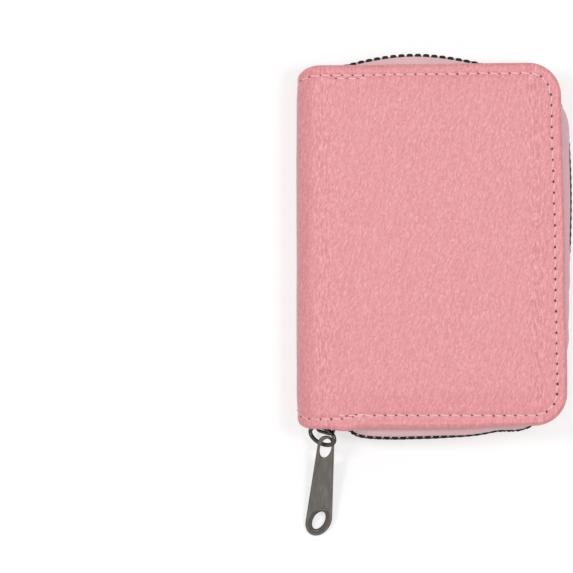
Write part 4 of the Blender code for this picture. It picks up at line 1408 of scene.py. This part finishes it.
def make_world():
    """A sky that is brighter overhead than at the horizon, and plain white where it is seen."""
    world = bpy.data.worlds.new("studio")
    bpy.context.scene.world = world
    world.use_nodes = True
    nodes = Nodes(world.node_tree)
    height = nodes.node("SeparateXYZ", "Z", {"Vector": nodes.node("TexCoord", "Generated", {})})
    strength = nodes.node("MapRange", "Result", {"Value": height, "To Min": SKY_LOW, "To Max": SKY_HIGH})
    sky = world.node_tree.nodes["Background"]
    nodes.feed(sky.inputs["Color"], WHITE)
    nodes.feed(sky.inputs["Strength"], strength)
    white = nodes.node("Background", "Background", {"Color": WHITE})
    seen = nodes.math("MAXIMUM", nodes.node("LightPath", "Is Camera Ray", {}), seen_in_things(nodes))
    nodes.mix_shaders(seen, sky.outputs["Background"], white, "World Output")


def add_lamp(name, place, size, power):
    """A round lamp that points at the middle of the frame."""
    light = bpy.data.lights.new(name, "AREA")
    light.shape = "DISK"
    light.size = size
    light.energy = power
    lamp = link_object(name, light)
    lamp.location = place
    lamp.rotation_euler = (-Vector(place)).to_track_quat("-Z", "Y").to_euler()


def make_stage():
    scene = bpy.context.scene
    scene.view_settings.view_transform = "Standard"
    make_world()
    make_floor()
    add_lamp("left_lamp", (-0.42, 0.14, 1.0), 0.20, 2.9)
    add_lamp("right_lamp", (0.24, 0.03, 1.0), 0.20, 2.5)
    data = bpy.data.cameras.new("photo_camera")
    data.sensor_width = SENSOR
    data.lens = SENSOR * CAMERA_HEIGHT / VIEW_WIDTH
    data.clip_end = 2 * CAMERA_HEIGHT
    scene.camera = link_object("photo_camera", data)
    scene.camera.location = (CAMERA_X, CAMERA_Y, CAMERA_HEIGHT + THICKNESS)


def build():
    leather = leather_material()
    thread = thread_material("pale_pink_thread", (0.94, 0.59, 0.60), (0.86, 0.47, 0.485))
    loose = thread_material("loose_thread", (0.93, 0.64, 0.64), (0.84, 0.48, 0.49))
    # The needle holes' dark red is painted shade in the pits
    hole = plastic_and_shade_material("needle_hole_shadow", (0.13, 0.02, 0.028), 0.8)
    lining = cloth_material("mauve_lining_cloth", 0.45, (0.068, 0.044, 0.047), (0.118, 0.085, 0.090),
                            0.6, 0.1, 0.12)
    dark_thread = thread_material("dark_thread", (0.10, 0.07, 0.075), (0.04, 0.03, 0.03))
    fabric = cloth_material("black_pocket_cloth", 0.40, (0.006, 0.006, 0.006), (0.020, 0.018, 0.019),
                            0.7, 0.0, 0.05)
    edging = cloth_material("pocket_mouth_edging", 0.40, (0.09, 0.085, 0.086), (0.19, 0.18, 0.18),
                            0.6, 0.0, 0.05)
    pleats = cloth_material("pleat_cloth", 0.40, (0.012, 0.011, 0.011), (0.034, 0.031, 0.031),
                            0.6, 0.0, 0.05)
    tape = cloth_material("pale_zip_tape", 0.55, (0.776, 0.478, 0.494), (0.892, 0.616, 0.627), 0.85)
    # The tape's inner side: the same tape, made more salmon as painted shading
    shaded_salmon = cloth_material("shaded_salmon_zip_tape", 0.55, (0.78, 0.38, 0.36), (0.92, 0.50, 0.48), 0.85)
    tab = cloth_material("taupe_tab_cloth", 0.45, (0.13, 0.115, 0.09), (0.24, 0.215, 0.18), 0.8)
    teeth = plastic_and_shade_material("black_tooth", (0.010, 0.009, 0.010), 0.55, 0.2)
    metal = metal_material("gunmetal", (0.155, 0.142, 0.128), 0.36, (0.3, 4.0, 0.3), 0.25)
    dark = metal_material("dark_gunmetal", (0.085, 0.078, 0.07), 0.34, (0.5, 0.5, 0.5))
    # A darker copy of the gunmetal: painted shade on the pull's edges and tip rim
    shaded_edge_metal = metal_material("gunmetal_shaded_edge", (0.10, 0.092, 0.083), 0.34, (0.4, 0.4, 0.4))
    board = mottled_material("grey_board_fibre", (0.28, 0.26, 0.24), (0.40, 0.38, 0.35), 0.9,
                             (0.6, 3.0, 1.0), 4.0, (0.3, 0.1))

    make_leather(leather)
    make_stitching(thread, loose, hole)
    for name, side in SIDES:
        make_tape(name, side, tape, shaded_salmon)
        make_teeth(name, side, teeth, tape)
        make_panel(name, side, lining, dark_thread)
    make_accordion(fabric, edging, pleats)
    make_spine_inside(lining, tab, board)
    make_metal(metal, shaded_edge_metal, dark, teeth)
    for name, _ in SIDES:
        dress_node(name + "_board", board)
    make_stage()


build()
